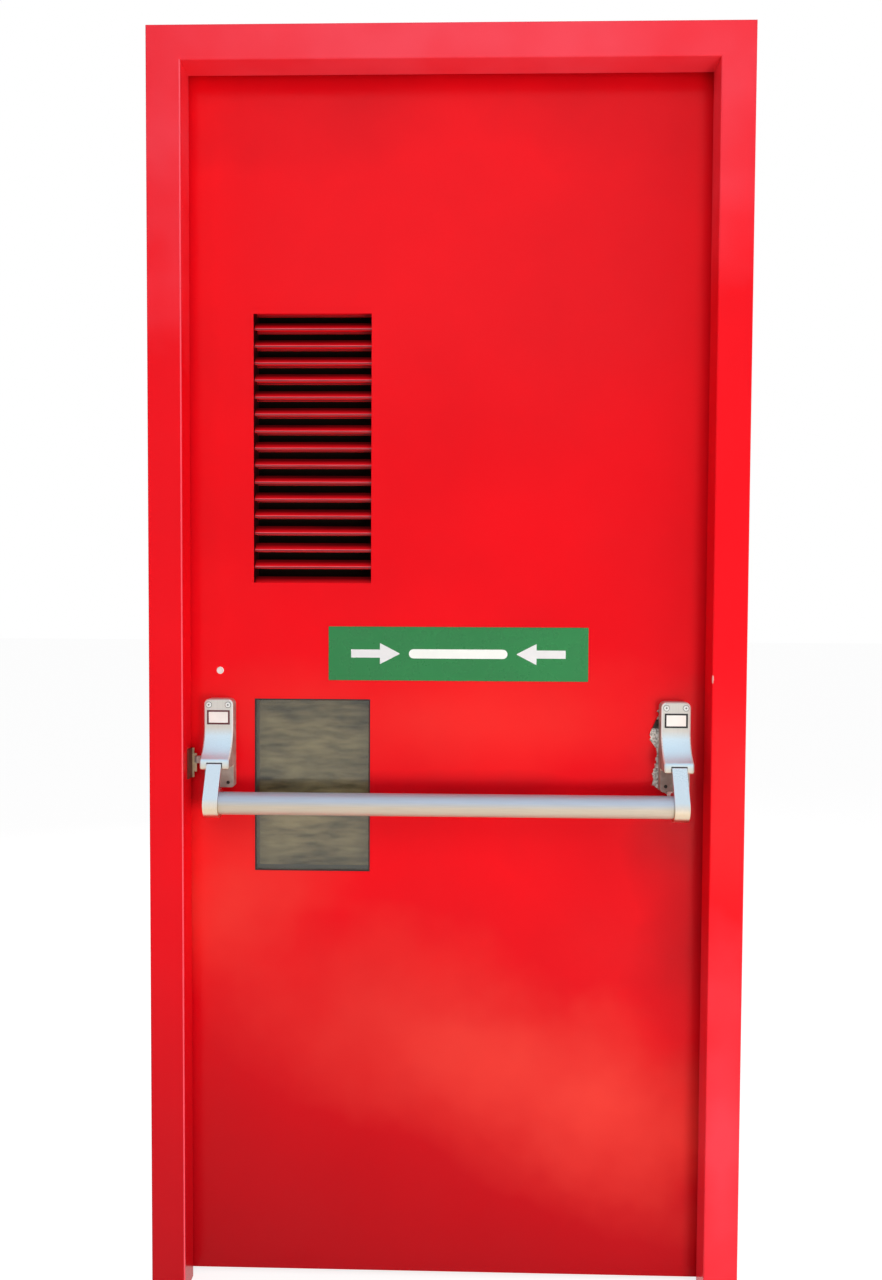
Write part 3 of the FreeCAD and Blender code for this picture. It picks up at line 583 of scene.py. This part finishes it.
def make_finish(name):
    """Makes one of the door's finishes by name."""
    c = bpy.context.scene.door_colours
    frame_tones = (c.frame_enamel, c.frame_shade, c.frame_bloom)
    leaf_tones = (c.leaf_enamel, c.leaf_shade, c.leaf_bloom)
    # Patches: across and up and half sizes in metres, turn in degrees, strength, above zero for painted
    # sheen, below zero for painted shade
    # Painted sheen on the hinge jamb's foot and along the frame's top
    frame_patches = [(-0.03, 0.25, 0.09, 0.5, 0, 0.55), (-0.5, 2.16, 1.1, 0.6, 0, 0.75)]
    # Painted sheen where the leaf mirrors bright ground
    leaf_chalk = [(-0.50, 0.42, 0.62, 0.20, 27, 0.5), (-0.23, 0.335, 0.31, 0.165, 20, 0.6),
                  (-0.86, 0.70, 0.24, 0.18, 0, 0.4), (-0.50, 0.99, 0.60, 0.12, 0, 0.3)]
    # Painted shade on the hinge side, under the head, at the lock-side rim and behind the bar
    leaf_grime = [(-0.05, 0.72, 0.13, 0.45, 0, -0.8), (-0.50, 2.12, 0.90, 0.20, 0, -0.42),
                  (-0.95, 1.45, 0.06, 0.75, 0, -0.3), (-0.50, 0.862, 0.75, 0.042, 0, -0.75)]
    # A softer painted sheen on the far side
    far_chalk = [(-0.50, 0.42, 0.62, 0.24, -20, 0.3)]
    # The chip on the jamb's edge: middle, half sizes and what shows
    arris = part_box("hinge_jamb")[0]
    chip_z = 1.068
    chip = ((arris.x, arris.y, chip_z), (0.003, 0.003, 0.008), c.primer)
    # Lower tones, with the heights between which they fade out: painted reflections, the sky's blue in the
    # scoop and the ground's warmth on the noses, levers and tube
    case_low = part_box("lock_case_cover")[0].z
    scoop = (c.scoop_metal, case_low + 0.090, case_low + 0.104)
    nose = (c.lever_tarnish, case_low + 0.036, case_low + 0.052)
    lever_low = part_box("lock_lever_arm")[0].z
    lever_end = (c.lever_tarnish, lever_low + 0.018, lever_low + 0.036)
    tube_low, tube_high = (corner.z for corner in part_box("push_bar_tube"))
    tube_rise = tube_high - tube_low
    tube_under = (c.bar_tarnish, tube_low + tube_rise * 0.45, tube_low + tube_rise * 0.7)
    along_x = (60.0, 1.0, 1.0)
    along_z = (1.0, 1.0, 60.0)
    # Each maker with its values, in the order of its arguments
    recipes = {
        "gloss_enamel_frame": (sprayed_enamel, *frame_tones, frame_patches, 0.0, 0.0, chip),
        "gloss_enamel_leaf": (sprayed_enamel, *leaf_tones, leaf_chalk + leaf_grime, 0.95, 0.32),
        "gloss_enamel_far_side": (sprayed_enamel, *leaf_tones, far_chalk, 0.95, 0.0),
        "gloss_enamel_louvre": (louvre_enamel, c.leaf_enamel, c.louvre_shade),
        "grimed_enamel_louvre": (coated, c.louvre_shade, 0.4, 0.03, 0.2),
        "lip_enamel_louvre": (coated, c.louvre_upright, 0.35, 0.05, 0.15),
        "worn_enamel_louvre": (coated, c.louvre_bend, 0.35, 0.05, 0.15),
        "worn_enamel_frame": (coated, c.frame_bloom, 0.3, 0.05, 0.08),
        "satin_nickel_case": (brushed_metal, c.satin_metal, 0.44, along_z, scoop, 0.8),
        "satin_nickel_nose": (brushed_metal, c.scoop_metal, 0.44, along_x, nose, 0.9),
        "polished_nickel_rim": (brushed_metal, c.bright_metal, 0.3, along_z, None, 0.4),
        "satin_nickel_lever": (brushed_metal, c.lever_metal, 0.30, along_z, lever_end),
        "brushed_stainless_bar": (brushed_metal, c.bar_metal, 0.44, along_x, tube_under, 0.35),
        "bare_zinc_casting": (stained_casting, c.cast_metal, c.cast_stain),
        "bright_nickel_screw": (brushed_metal, c.bright_metal, 0.3, along_x),
        "plain_steel": (brushed_metal, c.plain_steel, 0.38, along_z),
        "dark_steel": (brushed_metal, c.dark_steel, 0.45, along_x),
        "galvanised_sheet": (spangled_zinc, c.galvanised, 0.5),
        "passivated_zinc": (spangled_zinc, c.zinc, 0.42),
        "old_paint": (coated, c.old_paint, 0.5, 0.01, 0.2),
        "acrylic_sign": (coated, c.sign_green, 0.28, 0.12),
        "white_vinyl": (coated, c.sign_white, 0.4, 0.05, 0.03),
        "white_label": (coated, c.label_white, 0.35, 0.02, 0.04),
        "red_ink": (coated, c.label_red, 0.4, 0.02),
        "black_ink": (coated, c.label_black, 0.4, 0.02),
        "mastic": (coated, c.mastic, 0.55, 0.02, 0.2, 0.002),
        "crumbled_filler": (crumbled, c.filler, c.filler_shade, 0.004),
        "mineral_board": (crumbled, c.board, c.filler_shade, 0.006),
        "clear_float_glass": (clear_glass, c.glass),
    }
    maker, *values = recipes[name]
    material = bpy.data.materials.new(name)
    add = adder(material)
    shader = maker(add, add("TexCoord", output="Object"), *values)
    shader = {key.replace("_", " "): value for key, value in shader.items()}
    add("OutputMaterial", (add("BsdfPrincipled", shader),))
    return material


class STEELDOOR_OT_frame(bpy.types.Operator):
    """Finishes the pressed frame and its wall anchors"""

    bl_idname = "steel_door.frame"
    bl_label = "Frame"

    def execute(self, context):
        for node in ("frame_head", "hinge_jamb"):
            dressed(node, "gloss_enamel_frame")
        # Here the fold between the face and the reveal gets a pale painted highlight
        dressed("lock_jamb", "gloss_enamel_frame", "worn_enamel_frame",
                faces=[(1, lambda face: face.normal.y < -0.2 and face.normal.x > 0.2)])
        for node in ("hinge_jamb_anchors", "lock_jamb_anchors"):
            dressed(node, "galvanised_sheet", edge=context.scene.door_sizes.edge)
        return {"FINISHED"}


def tear_loop(seed):
    """The closed outline of the torn skin beside the hinge-side case, as a ragged wire."""
    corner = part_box("hinge_case_cover")[0]
    # Across from the case's edge and up from its foot, in millimetres; the last four lie under the case
    outline = [(-2, 140), (-3.5, 134), (0.5, 129), (-4, 124), (-8, 117), (-10.5, 110), (-14, 103),
               (-16.7, 94), (-14.5, 90), (-15.3, 86), (-11.5, 81.5), (-9, 78), (-5.5, 73),
               (-4.2, 66), (-3.2, 60), (-4.6, 52), (-4.4, 47), (-6, 41.5), (-5.2, 39), (-10, 35),
               (-9.4, 31), (-11.6, 26), (-9, 22), (-8, 18.5), (-10.5, 14), (-11.3, 8), (-6, 4),
               (-3.5, 2.2), (2, -1.5), (7, -4.5), (12, -8), (18, -11), (24, -10), (27, -5),
               (26, 6), (7, 16), (8, 118), (8, 134)]
    loop = start(bpy.ops.mesh.primitive_circle_add, vertices=len(outline), radius=0.01)
    for vertex, (across, up) in zip(loop.data.vertices, outline):
        vertex.co = (corner.x + across * MM, LEAF_FACE_Y, corner.z + up * MM)
    edit_mode("SELECT")
    bpy.ops.mesh.subdivide(number_cuts=2, fractal=1.0, seed=seed)
    bpy.ops.transform.resize(value=(1, 0, 1), center_override=(corner.x, LEAF_FACE_Y, corner.z))
    object_mode()
    return loop


def tear_prism(loop, depth):
    """The torn outline pushed from in front of the leaf to a depth in it, as a cutting tool."""
    clear = 0.004
    tool = copy_of(loop, (0, -clear, 0))
    edit_mode("SELECT")
    bpy.ops.mesh.edge_face_add()
    pull((0, clear + depth, 0))
    bpy.ops.mesh.select_all(action="SELECT")
    bpy.ops.mesh.normals_make_consistent(inside=False)
    object_mode()
    return tool


class STEELDOOR_OT_leaf(bpy.types.Operator):
    """Finishes the leaf's skins, edge channels and infill board, with the torn place beside the case"""

    bl_idname = "steel_door.leaf"
    bl_label = "Leaf"

    def execute(self, context):
        sizes = context.scene.door_sizes
        through_skin = 0.004
        loop = tear_loop(sizes.tear_seed)
        dressed("leaf_skin_inside", "gloss_enamel_leaf", edge=sizes.edge,
                tools=[tear_prism(loop, through_skin)])
        dressed("leaf_core", "mineral_board", tools=[tear_prism(loop, sizes.tear_depth)])
        self.fill(loop, sizes.tear_depth)
        self.curl(loop)
        discard(loop)
        dressed("leaf_skin_outside", "gloss_enamel_far_side", edge=sizes.edge)
        for node in ("leaf_top_channel", "leaf_bottom_channel"):
            dressed(node, "gloss_enamel_far_side")
        return {"FINISHED"}

    def fill(self, loop, depth):
        """Lumps of broken filler inside the tear."""
        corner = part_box("hinge_case_cover")[0]
        middle_depth = 0.0045
        # Name, grain and height of the lumps' roughness, in metres
        roughness = []
        for name, grain, height in (("filler_lumps", 0.006, 0.006), ("filler_crumbs", 0.0016, 0.0015)):
            texture = bpy.data.textures.new(name, "CLOUDS")
            texture.noise_scale = grain
            roughness.append((texture, height))
        # Middle across and up from the case's lower corner, then half sizes, in millimetres
        lumps = [(-4, 82, 18, 7, 24), (-4, 48, 10, 6, 20), (-4, 20, 16, 6, 26), (12, -1, 18, 6, 12),
                 (-2, 126, 4, 6, 4), (-3, 136, 4, 6, 5)]
        made = []
        for across, up, *half in lumps:
            place = (corner.x + across * MM, LEAF_FACE_Y + middle_depth, corner.z + up * MM)
            lump = start(bpy.ops.mesh.primitive_ico_sphere_add, subdivisions=6, radius=1.0, location=place,
                         scale=[size * MM for size in half])
            for texture, height in roughness:
                apply_modifier(lump, "DISPLACE", texture=texture, texture_coords="LOCAL", strength=height)
            cut(lump, tear_prism(loop, depth), "INTERSECT")
            made.append(lump)
        filler = join(made)
        paint(filler, "crumbled_filler")
        settle(filler, "crumbled_filler", "door_leaf")

    def curl(self, loop):
        """The lip of skin that is bent out along the tear's open side."""
        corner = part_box("hinge_case_cover")[0]
        bend = (0.0011, -0.0014, 0.0002)
        open_x = corner.x - 0.0008
        open_z = corner.z - 0.001
        lip = copy_of(loop)
        pick(lip, "VERT", lambda point: point.co.x > open_x and point.co.z > open_z)
        bpy.ops.mesh.delete(type="VERT")
        bpy.ops.mesh.select_all(action="SELECT")
        bpy.ops.mesh.extrude_edges_move(TRANSFORM_OT_translate={"value": bend})
        bpy.ops.transform.vertex_random(offset=0.0006, seed=7)
        object_mode()
        apply_modifier(lip, "SOLIDIFY", thickness=0.0007, offset=0.0, material_offset_rim=1)
        paint(lip, "gloss_enamel_leaf", "plain_steel")
        settle(lip, "torn_skin_lip", "door_leaf")


class STEELDOOR_OT_louvre(bpy.types.Operator):
    """Finishes the louvre's casing and blades"""

    bl_idname = "steel_door.louvre"
    bl_label = "Louvre"

    def execute(self, context):
        # The casing is dark all over: painted shade
        dressed("louvre_casing", "grimed_enamel_louvre")
        # The upright lips get a painted shade, then the bends above them a painted highlight
        dressed("louvre_blades", "gloss_enamel_louvre", "lip_enamel_louvre", "worn_enamel_louvre",
                edge=context.scene.door_sizes.blade_edge,
                faces=[(1, lambda face: abs(face.normal.y) > 0.97),
                       (2, lambda face: abs(face.normal.y) > 0.74 and 0.1 < face.normal.z < 0.68)])
        return {"FINISHED"}


class STEELDOOR_OT_vision_panel(bpy.types.Operator):
    """Finishes the pane, its lining and bead, and adds the mastic line round it"""

    bl_idname = "steel_door.vision_panel"
    bl_label = "Vision panel"

    def execute(self, context):
        sizes = context.scene.door_sizes
        paint(frame["nodes"]["vision_glass"], "clear_float_glass")
        dressed("vision_casing", "galvanised_sheet")
        dressed("vision_bead", "gloss_enamel_far_side", edge=sizes.edge * 2)
        low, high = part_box("vision_casing")
        pane_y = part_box("vision_glass")[0].y
        sheet = sizes.lining_sheet
        bead_depth = 0.0008
        bead_round = 0.0003
        line = block((low.x + sheet, pane_y - bead_depth, low.z + sheet),
                     (high.x - sheet, pane_y, high.z - sheet))
        pick(line, "FACE", lambda face: abs(face.normal.y) > 0.5)
        bpy.ops.mesh.inset(thickness=sizes.seal_width)
        bpy.ops.mesh.bridge_edge_loops()
        object_mode()
        ease(line, bead_round)
        paint(line, "mastic")
        settle(line, "pane_mastic", "door_leaf")
        return {"FINISHED"}


class STEELDOOR_OT_sign(bpy.types.Operator):
    """Finishes the sign plate and adds a plain mark of a bar between two arrows"""

    bl_idname = "steel_door.sign"
    bl_label = "Sign"

    # Thickness of the mark's film, in metres
    film = 0.0002

    def execute(self, context):
        dressed("exit_sign_plate", "acrylic_sign", edge=context.scene.door_sizes.edge)
        low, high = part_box("exit_sign_plate")
        middle = (low + high) / 2
        middle.y = low.y
        half_length = 0.085
        half_height = 0.008
        bar = self.strip(middle, -half_length, half_length, half_height)
        paint(bar, "white_vinyl")

        def upright(edge):
            """True for an edge that runs through the film."""
            first, last = (bar.data.vertices[i].co.y for i in edge.vertices)
            return abs(first - last) > self.film / 2

        pick(bar, "EDGE", upright)
        bpy.ops.mesh.bevel(offset=half_height - 10 * MERGE, segments=6)
        object_mode()
        mark = join([bar, self.arrow(middle, -1), self.arrow(middle, 1)])
        settle(mark, "sign_mark", "door_leaf")
        return {"FINISHED"}

    def strip(self, middle, from_x, to_x, half_height):
        """A strip of film on the plate, between two places across from its middle."""
        return block(middle + Vector((from_x, -self.film, -half_height)),
                     middle + Vector((to_x, 0, half_height)))

    def arrow(self, middle, side):
        """An arrow that points at the bar from one side."""
        tail = side * 0.185
        neck = side * 0.135
        head_length = 0.034
        head_spread = 2.6
        tip_share = 0.03
        arrow = self.strip(middle, min(tail, neck), max(tail, neck), half_height=0.007)
        pick(arrow, "FACE", lambda face: face.normal.x * side < -0.5)
        for move, spread in ((0, head_spread), (-side * head_length, tip_share)):
            pull((move, 0, 0))
            bpy.ops.transform.resize(value=(1, 1, spread), center_override=middle)
        object_mode()
        return arrow


class STEELDOOR_OT_hinges(bpy.types.Operator):
    """Finishes the three butt hinges"""

    bl_idname = "steel_door.hinges"
    bl_label = "Hinges"

    def execute(self, context):
        edge = context.scene.door_sizes.edge
        for level in ("bottom", "middle", "top"):
            for half in ("jamb", "leaf"):
                dressed(level + "_hinge_" + half + "_plate", "plain_steel", edge=edge)
        return {"FINISHED"}


class STEELDOOR_OT_push_bar(bpy.types.Operator):
    """Finishes the bar, its levers, cases, bases and pins"""

    bl_idname = "steel_door.push_bar"
    bl_label = "Push bar"

    def execute(self, context):
        sizes = context.scene.door_sizes
        dressed("push_bar_tube", "brushed_stainless_bar", edge=sizes.edge)
        for side in ("lock", "hinge"):
            dressed(side + "_lever_arm", "satin_nickel_lever", edge=sizes.casting_edge, steps=3)
            self.cover(side + "_case_cover", sizes)
            for part in ("_case_base", "_case_pivot_pin"):
                dressed(side + part, "plain_steel", edge=sizes.edge)
        return {"FINISHED"}

    def corner_tool(self, corner, inward, foot_y, radius):
        """What a round leaves outside it at one lower corner of a nose, as a cutting tool."""
        x, front_y, z = corner
        reach = inward * radius
        # It stops just clear of the foot's face
        clear = 20 * MERGE
        tool = block((x - radius, front_y - radius, z - radius), (x + radius, foot_y - clear, z + radius))
        cut(tool, disc((x + reach, front_y, z + radius), radius, 4 * (foot_y - front_y), sides=48))
        return tool

    def cover(self, node, sizes):
        """A case's cover with rounded rims, satin in front, with a painted shade on its sides and foot and a
        painted highlight on its rims.
        """
        low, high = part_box(node)
        foot_y = LEAF_FACE_Y - sizes.foot_face
        foot_front = foot_y - sizes.casting_edge * 2
        nose_z = low.z + sizes.nose_foot
        nose_top = nose_z + sizes.nose_height
        foot_z = nose_z - sizes.edge
        # The blind fixing hole in the foot lies on the side of the lever that faces the pane
        inward = 1 if node.startswith("lock") else -1
        hole_x = (low.x + high.x) / 2 + inward * sizes.hole_offset
        hole_z = low.z + sizes.hole_height
        reach = sizes.hole_radius + MERGE

        def in_hole(face):
            """True for a face inside the blind hole."""
            across = math.hypot(face.center.x - hole_x, face.center.z - hole_z)
            return across < reach and face.center.y > foot_y + MERGE

        # The blind hole is painted dark inside: painted shade
        tools = [disc((hole_x, foot_y, hole_z), sizes.hole_radius, 2 * sizes.hole_depth, sides=24)]
        for side_x, way in ((low.x, 1), (high.x, -1)):
            tools.append(self.corner_tool((side_x, low.y, nose_z), way, foot_y, sizes.nose_round))
        satin, bare, dark, nose, rim = range(5)
        finishes = {satin: "satin_nickel_case", bare: "bare_zinc_casting", dark: "dark_steel",
                    nose: "satin_nickel_nose", rim: "polished_nickel_rim"}
        # The rims on both sides of the face and the scoop get a paler, less metallic finish: a painted
        # highlight
        faces = [(rim, lambda face: face.normal.y < -0.2 and abs(face.normal.x) > 0.25),
                 (nose, lambda face: face.normal.y < -0.2 and foot_z < face.center.z < nose_top),
                 # The sides, and the foot under the nose, take the dull darker casting: painted shade
                 (bare, lambda face: abs(face.normal.x) > 0.75),
                 (bare, lambda face: face.center.z < foot_z and face.center.y > foot_front),
                 (dark, in_hole)]
        dressed(node, *finishes.values(), edge=sizes.casting_edge, steps=3, tools=tools, faces=faces)


class STEELDOOR_OT_latch(bpy.types.Operator):
    """Finishes the latch bolt and the strike keeper"""

    bl_idname = "steel_door.latch"
    bl_label = "Latch"

    def execute(self, context):
        edge = context.scene.door_sizes.edge
        leg_width = 0.004
        leg_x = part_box("strike_keeper")[0].x + leg_width
        dressed("latch_bolt", "bare_zinc_casting", edge=edge)
        # The leg on the reveal is painted dark reddish-brown: painted shade and painted reflection
        dressed("strike_keeper", "passivated_zinc", "old_paint", edge=edge,
                faces=[(1, lambda face: face.center.x < leg_x)])
        return {"FINISHED"}


class STEELDOOR_OT_case_fittings(bpy.types.Operator):
    """Adds the bare label plates and the screws of the two cases"""

    bl_idname = "steel_door.case_fittings"
    bl_label = "Labels and screws"

    def execute(self, context):
        sizes = context.scene.door_sizes
        screw = self.screw(sizes.screw_radius, sizes.screw_height)
        face_y = LEAF_FACE_Y - sizes.case_face
        for side, ink in (("lock", "red_ink"), ("hinge", "black_ink")):
            low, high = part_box(side + "_case_cover")
            middle_x = (low.x + high.x) / 2
            self.label(sizes, side, ink, middle_x, face_y, high.z - sizes.label_drop)
            half = sizes.screw_spread / 2
            screw_z = high.z - sizes.screw_drop
            heads = join([copy_of(screw, (middle_x + across, face_y, screw_z)) for across in (-half, half)])
            settle(heads, side + "_case_screws", "door_leaf")
        discard(screw)
        return {"FINISHED"}

    def label(self, sizes, side, ink, middle_x, face_y, top_z):
        """A bare plate with a coloured border."""
        half = sizes.label_width / 2
        sunk = 0.00015
        edge = 0.0001
        plate = block((middle_x - half, face_y - sizes.label_thickness, top_z - sizes.label_height),
                      (middle_x + half, face_y, top_z))
        paint(plate, "white_label", ink)
        pick(plate, "FACE", faces_room)
        paint_picked(plate, 1)
        bpy.ops.mesh.inset(thickness=sizes.label_border)
        paint_picked(plate, 0)
        bpy.ops.transform.translate(value=(0, sunk, 0))
        object_mode()
        ease(plate, edge, steps=1)
        settle(plate, side + "_label_plate", "door_leaf")

    def dark(self, piece):
        """Gives a piece the head's finishes and turns all of it to the dark recess finish, a painted shade.
        """
        paint(piece, "bright_nickel_screw", "dark_steel")
        paint_faces(piece, 1, lambda face: True)
        return piece

    def screw(self, radius, rise):
        """A domed screw head at the origin, with a cross recess, facing the room."""
        arm = 0.0015
        web = 0.0006
        rim_width = 0.0006
        rim_depth = 0.0002
        head = disc((0, -rise / 2, 0), radius, rise)
        pick(head, "FACE", faces_room)
        bpy.ops.mesh.bevel(offset=rise * 0.8, segments=4)
        object_mode()
        paint(head, "bright_nickel_screw", "dark_steel")
        recess_y = -rise * 0.35
        for half_x, half_z in ((arm, web), (web, arm)):
            cut(head, self.dark(block((-half_x, -2 * rise, -half_z), (half_x, recess_y, half_z))))
        # The shadowed rim of the countersink round the head
        rim = disc((0, -rim_depth / 2, 0), radius + rim_width, rim_depth)
        pick(rim, "FACE", faces_room)
        bpy.ops.mesh.inset(thickness=rim_width / 2)
        object_mode()
        return join([head, self.dark(rim)])


class STEELDOOR_OT_leaf_fittings(bpy.types.Operator):
    """Adds the eyelet above the lock-side case and the washer below the hinge-side one"""

    bl_idname = "steel_door.leaf_fittings"
    bl_label = "Eyelet and washer"

    def execute(self, context):
        sizes = context.scene.door_sizes
        radius = sizes.eyelet_radius
        edge_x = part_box("lock_case_cover")[0].x
        place = (edge_x + sizes.eyelet_offset, LEAF_FACE_Y, sizes.eyelet_height)
        eyelet = self.ring(place, radius, depth=0.0016, finishes=("white_label", "dark_steel"))
        bpy.ops.mesh.bevel(offset=0.0006, segments=3)
        self.sink(rim=radius / 2, depth=0.0004)
        bpy.ops.mesh.inset(thickness=0.0002)
        # The eyelet's hole is painted dark: painted shade
        paint_picked(eyelet, 1)
        bpy.ops.transform.translate(value=(0, 0.0007, 0))
        object_mode()
        settle(eyelet, "leaf_eyelet", "door_leaf")
        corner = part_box("hinge_case_cover")[0]
        place = (corner.x + sizes.washer_offset, LEAF_FACE_Y - sizes.washer_depth / 2,
                 corner.z - sizes.washer_drop)
        washer = self.ring(place, sizes.washer_radius, sizes.washer_depth, finishes=("white_label",))
        bpy.ops.mesh.bevel(offset=0.0005, segments=2)
        self.sink(rim=0.0016, depth=0.0003)
        object_mode()
        settle(washer, "leaf_washer", "door_leaf")
        return {"FINISHED"}

    def ring(self, place, radius, depth, finishes):
        """A painted disc with its front face picked."""
        ring = disc(place, radius, depth)
        paint(ring, *finishes)
        pick(ring, "FACE", faces_room)
        return ring

    def sink(self, rim, depth):
        """Leaves a rim round the picked face and sinks the rest."""
        bpy.ops.mesh.inset(thickness=rim)
        bpy.ops.transform.translate(value=(0, depth, 0))


class STEELDOOR_OT_stage(bpy.types.Operator):
    """Sets the floor, the soft light and the camera"""

    bl_idname = "steel_door.stage"
    bl_label = "Stage"

    def execute(self, context):
        c = context.scene.door_colours
        self.floor(context)
        # Behind the louvre the dark card is a painted shade
        self.card("louvre_casing", c.louvre_card)
        self.card("vision_casing", c.pane_card, c.pane_streak)
        self.world(context)
        self.lamp("key_softbox", (0.55, -2.0, 0.5), 0.6, 20.0, "#FFF6EC")
        self.lamp("side_softbox", (2.0, -1.4, 1.0), 1.4, 10.0, "#FFFFFF")
        self.lamp("fill_softbox", (-0.5, -2.5, 3.0), 2.0, 30.0, "#F4F8FF")
        self.lamp("rear_softbox", (-1.4, 2.8, 2.4), 1.6, 34.0, "#FFFFFF")
        self.camera(context)
        context.scene.view_settings.view_transform = "Standard"
        return {"FINISHED"}

    def seen_white(self, add):
        """1 for rays that see the background: straight, mirrored or through glass."""
        path = add("LightPath").node.outputs
        both = add("Math", (path["Is Camera Ray"], path["Is Glossy Ray"]), operation="MAXIMUM")
        return add("Math", (both, path["Is Transmission Ray"]), operation="MAXIMUM")

    def floor(self, context):
        """A pale floor that looks white and still takes the door's shadow."""
        only()
        bpy.ops.mesh.primitive_plane_add(size=60.0, location=(CAD_BOX[0].x / 2, 0, 0))
        floor = context.object
        floor.name = "studio_floor"
        material = bpy.data.materials.new("studio_floor")
        add = adder(material)
        white_strength = 1.57
        white_share = 0.5
        pale = add("BsdfDiffuse", (context.scene.door_colours.floor,))
        white = add("Emission", (WHITE, white_strength))
        share = add("Math", (self.seen_white(add), white_share), operation="MULTIPLY")
        add("OutputMaterial", (add("MixShader", (share, pale, white)),))
        floor.data.materials.append(material)

    def card(self, node, tone, streak=None):
        """A matt card in a lining's far mouth, streaked if a second colour is given, unseen from behind;
        behind the louvre it is a painted shade.
        """
        sheet = bpy.context.scene.door_sizes.lining_sheet
        material = bpy.data.materials.new(node + "_card")
        add = adder(material)
        place = add("TexCoord", output="Object")
        if streak is not None:
            wide = clouds(add, place, 0.06, 6.0, (2.5, 1.0, 1.0))
            wide = add("MapRange", (wide, 0.40, 0.66, 0.0, 0.6))
            fine = clouds(add, place, 0.008, 6.0, (5.0, 1.0, 1.0))
            fine = add("MapRange", (fine, 0.35, 0.7, 0.0, 0.4))
            share = add("Math", (wide, fine), operation="ADD")
            tone = add("Mix", (share, tone, streak), **COLOURS)
        matt = add("BsdfDiffuse", (tone,))
        clear = add("BsdfTransparent")
        behind = add("NewGeometry", output="Backfacing")
        add("OutputMaterial", (add("MixShader", (behind, matt, clear)),))
        low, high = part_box(node)
        only()
        middle = ((low.x + high.x) / 2, high.y - sheet, (low.z + high.z) / 2)
        bpy.ops.mesh.primitive_plane_add(size=1.0, location=middle, rotation=UPRIGHT)
        card = bpy.context.object
        card.scale = (high.x - low.x - 2 * sheet, high.z - low.z - 2 * sheet, 1)
        apply_place(card)
        # Light passes it, so that the far side isn't shaded
        card.visible_shadow = False
        card.visible_diffuse = False
        card.name = node + "_card"
        card.data.materials.append(material)
        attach(card, "door_leaf")

    def world(self, context):
        """White all round, pale blue above where metal mirrors it, and an even grey for the light itself."""
        world = bpy.data.worlds.new("studio")
        context.scene.world = world
        add = adder(world)
        direction = add("TexCoord", output="Generated")
        up = add("SeparateXYZ", (direction,), "Z")
        above = add("MapRange", (up, 0.15, 0.55, 0.0, 1.0))
        mirrored = add("LightPath", output="Is Glossy Ray")
        share = add("Math", (above, mirrored), operation="MULTIPLY")
        blue = context.scene.door_colours.upper_studio
        seen = add("Mix", (share, WHITE, blue), **COLOURS)
        shown = add("Background", (seen, 1.0))
        light = add("Background", (linear("#F4F6FA"), 0.5))
        both = add("MixShader", (self.seen_white(add), light, shown))
        add("OutputWorld", (both,))

    def lamp(self, name, place, size, power, tint):
        """A square soft lamp that faces the door's middle."""
        lamp = bpy.data.lights.new(name, "AREA")
        lamp.size = size
        lamp.energy = power
        lamp.color = linear(tint)[:3]
        holder = bpy.data.objects.new(name, lamp)
        bpy.context.scene.collection.objects.link(holder)
        holder.location = place
        middle = (CAD_BOX[0] + CAD_BOX[1]) / 2
        holder.rotation_euler = (middle - Vector(place)).to_track_quat("-Z", "Y").to_euler()
        holder.visible_glossy = False

    def camera(self, context):
        """The photograph's view, found from the door's straight edges."""
        down = 2.1055
        left = 1.3537
        lean = 0.2969
        data = bpy.data.cameras.new("photo_camera")
        data.lens = 28.125
        data.sensor_width = 36.0
        camera = bpy.data.objects.new("photo_camera", data)
        context.scene.collection.objects.link(camera)
        camera.location = (-0.46892, -1.67445, 1.19201)
        aim = Euler((math.radians(90 - down), 0, math.radians(left))).to_matrix()
        roll = Matrix.Rotation(math.radians(lean), 3, "Z")
        camera.rotation_euler = (aim @ roll).to_euler()
        context.scene.camera = camera


class STEELDOOR_PT_panel(bpy.types.Panel):
    """Lists the door's pieces and the stage"""

    bl_label = "Steel Door"
    bl_space_type = "VIEW_3D"
    bl_region_type = "UI"
    bl_category = "Steel Door"

    def draw(self, context):
        for operator in OPERATORS:
            self.layout.operator(operator.bl_idname)
        for group in (context.scene.door_sizes, context.scene.door_colours):
            for name in group.__annotations__:
                self.layout.prop(group, name)


OPERATORS = (
    STEELDOOR_OT_frame,
    STEELDOOR_OT_leaf,
    STEELDOOR_OT_louvre,
    STEELDOOR_OT_vision_panel,
    STEELDOOR_OT_sign,
    STEELDOOR_OT_hinges,
    STEELDOOR_OT_push_bar,
    STEELDOOR_OT_latch,
    STEELDOOR_OT_case_fittings,
    STEELDOOR_OT_leaf_fittings,
    STEELDOOR_OT_stage,
)
CLASSES = (DoorColours, DoorSizes) + OPERATORS + (STEELDOOR_PT_panel,)


def register():
    for cls in CLASSES:
        bpy.utils.register_class(cls)
    bpy.types.Scene.door_colours = PointerProperty(type=DoorColours)
    bpy.types.Scene.door_sizes = PointerProperty(type=DoorSizes)


def unregister():
    del bpy.types.Scene.door_sizes
    del bpy.types.Scene.door_colours
    for cls in reversed(CLASSES):
        bpy.utils.unregister_class(cls)


def main():
    """Registers the add-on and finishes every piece."""
    register()
    for operator in OPERATORS:
        group, name = operator.bl_idname.split(".")
        getattr(getattr(bpy.ops, group), name)()


if __name__ == "__main__":
    main()
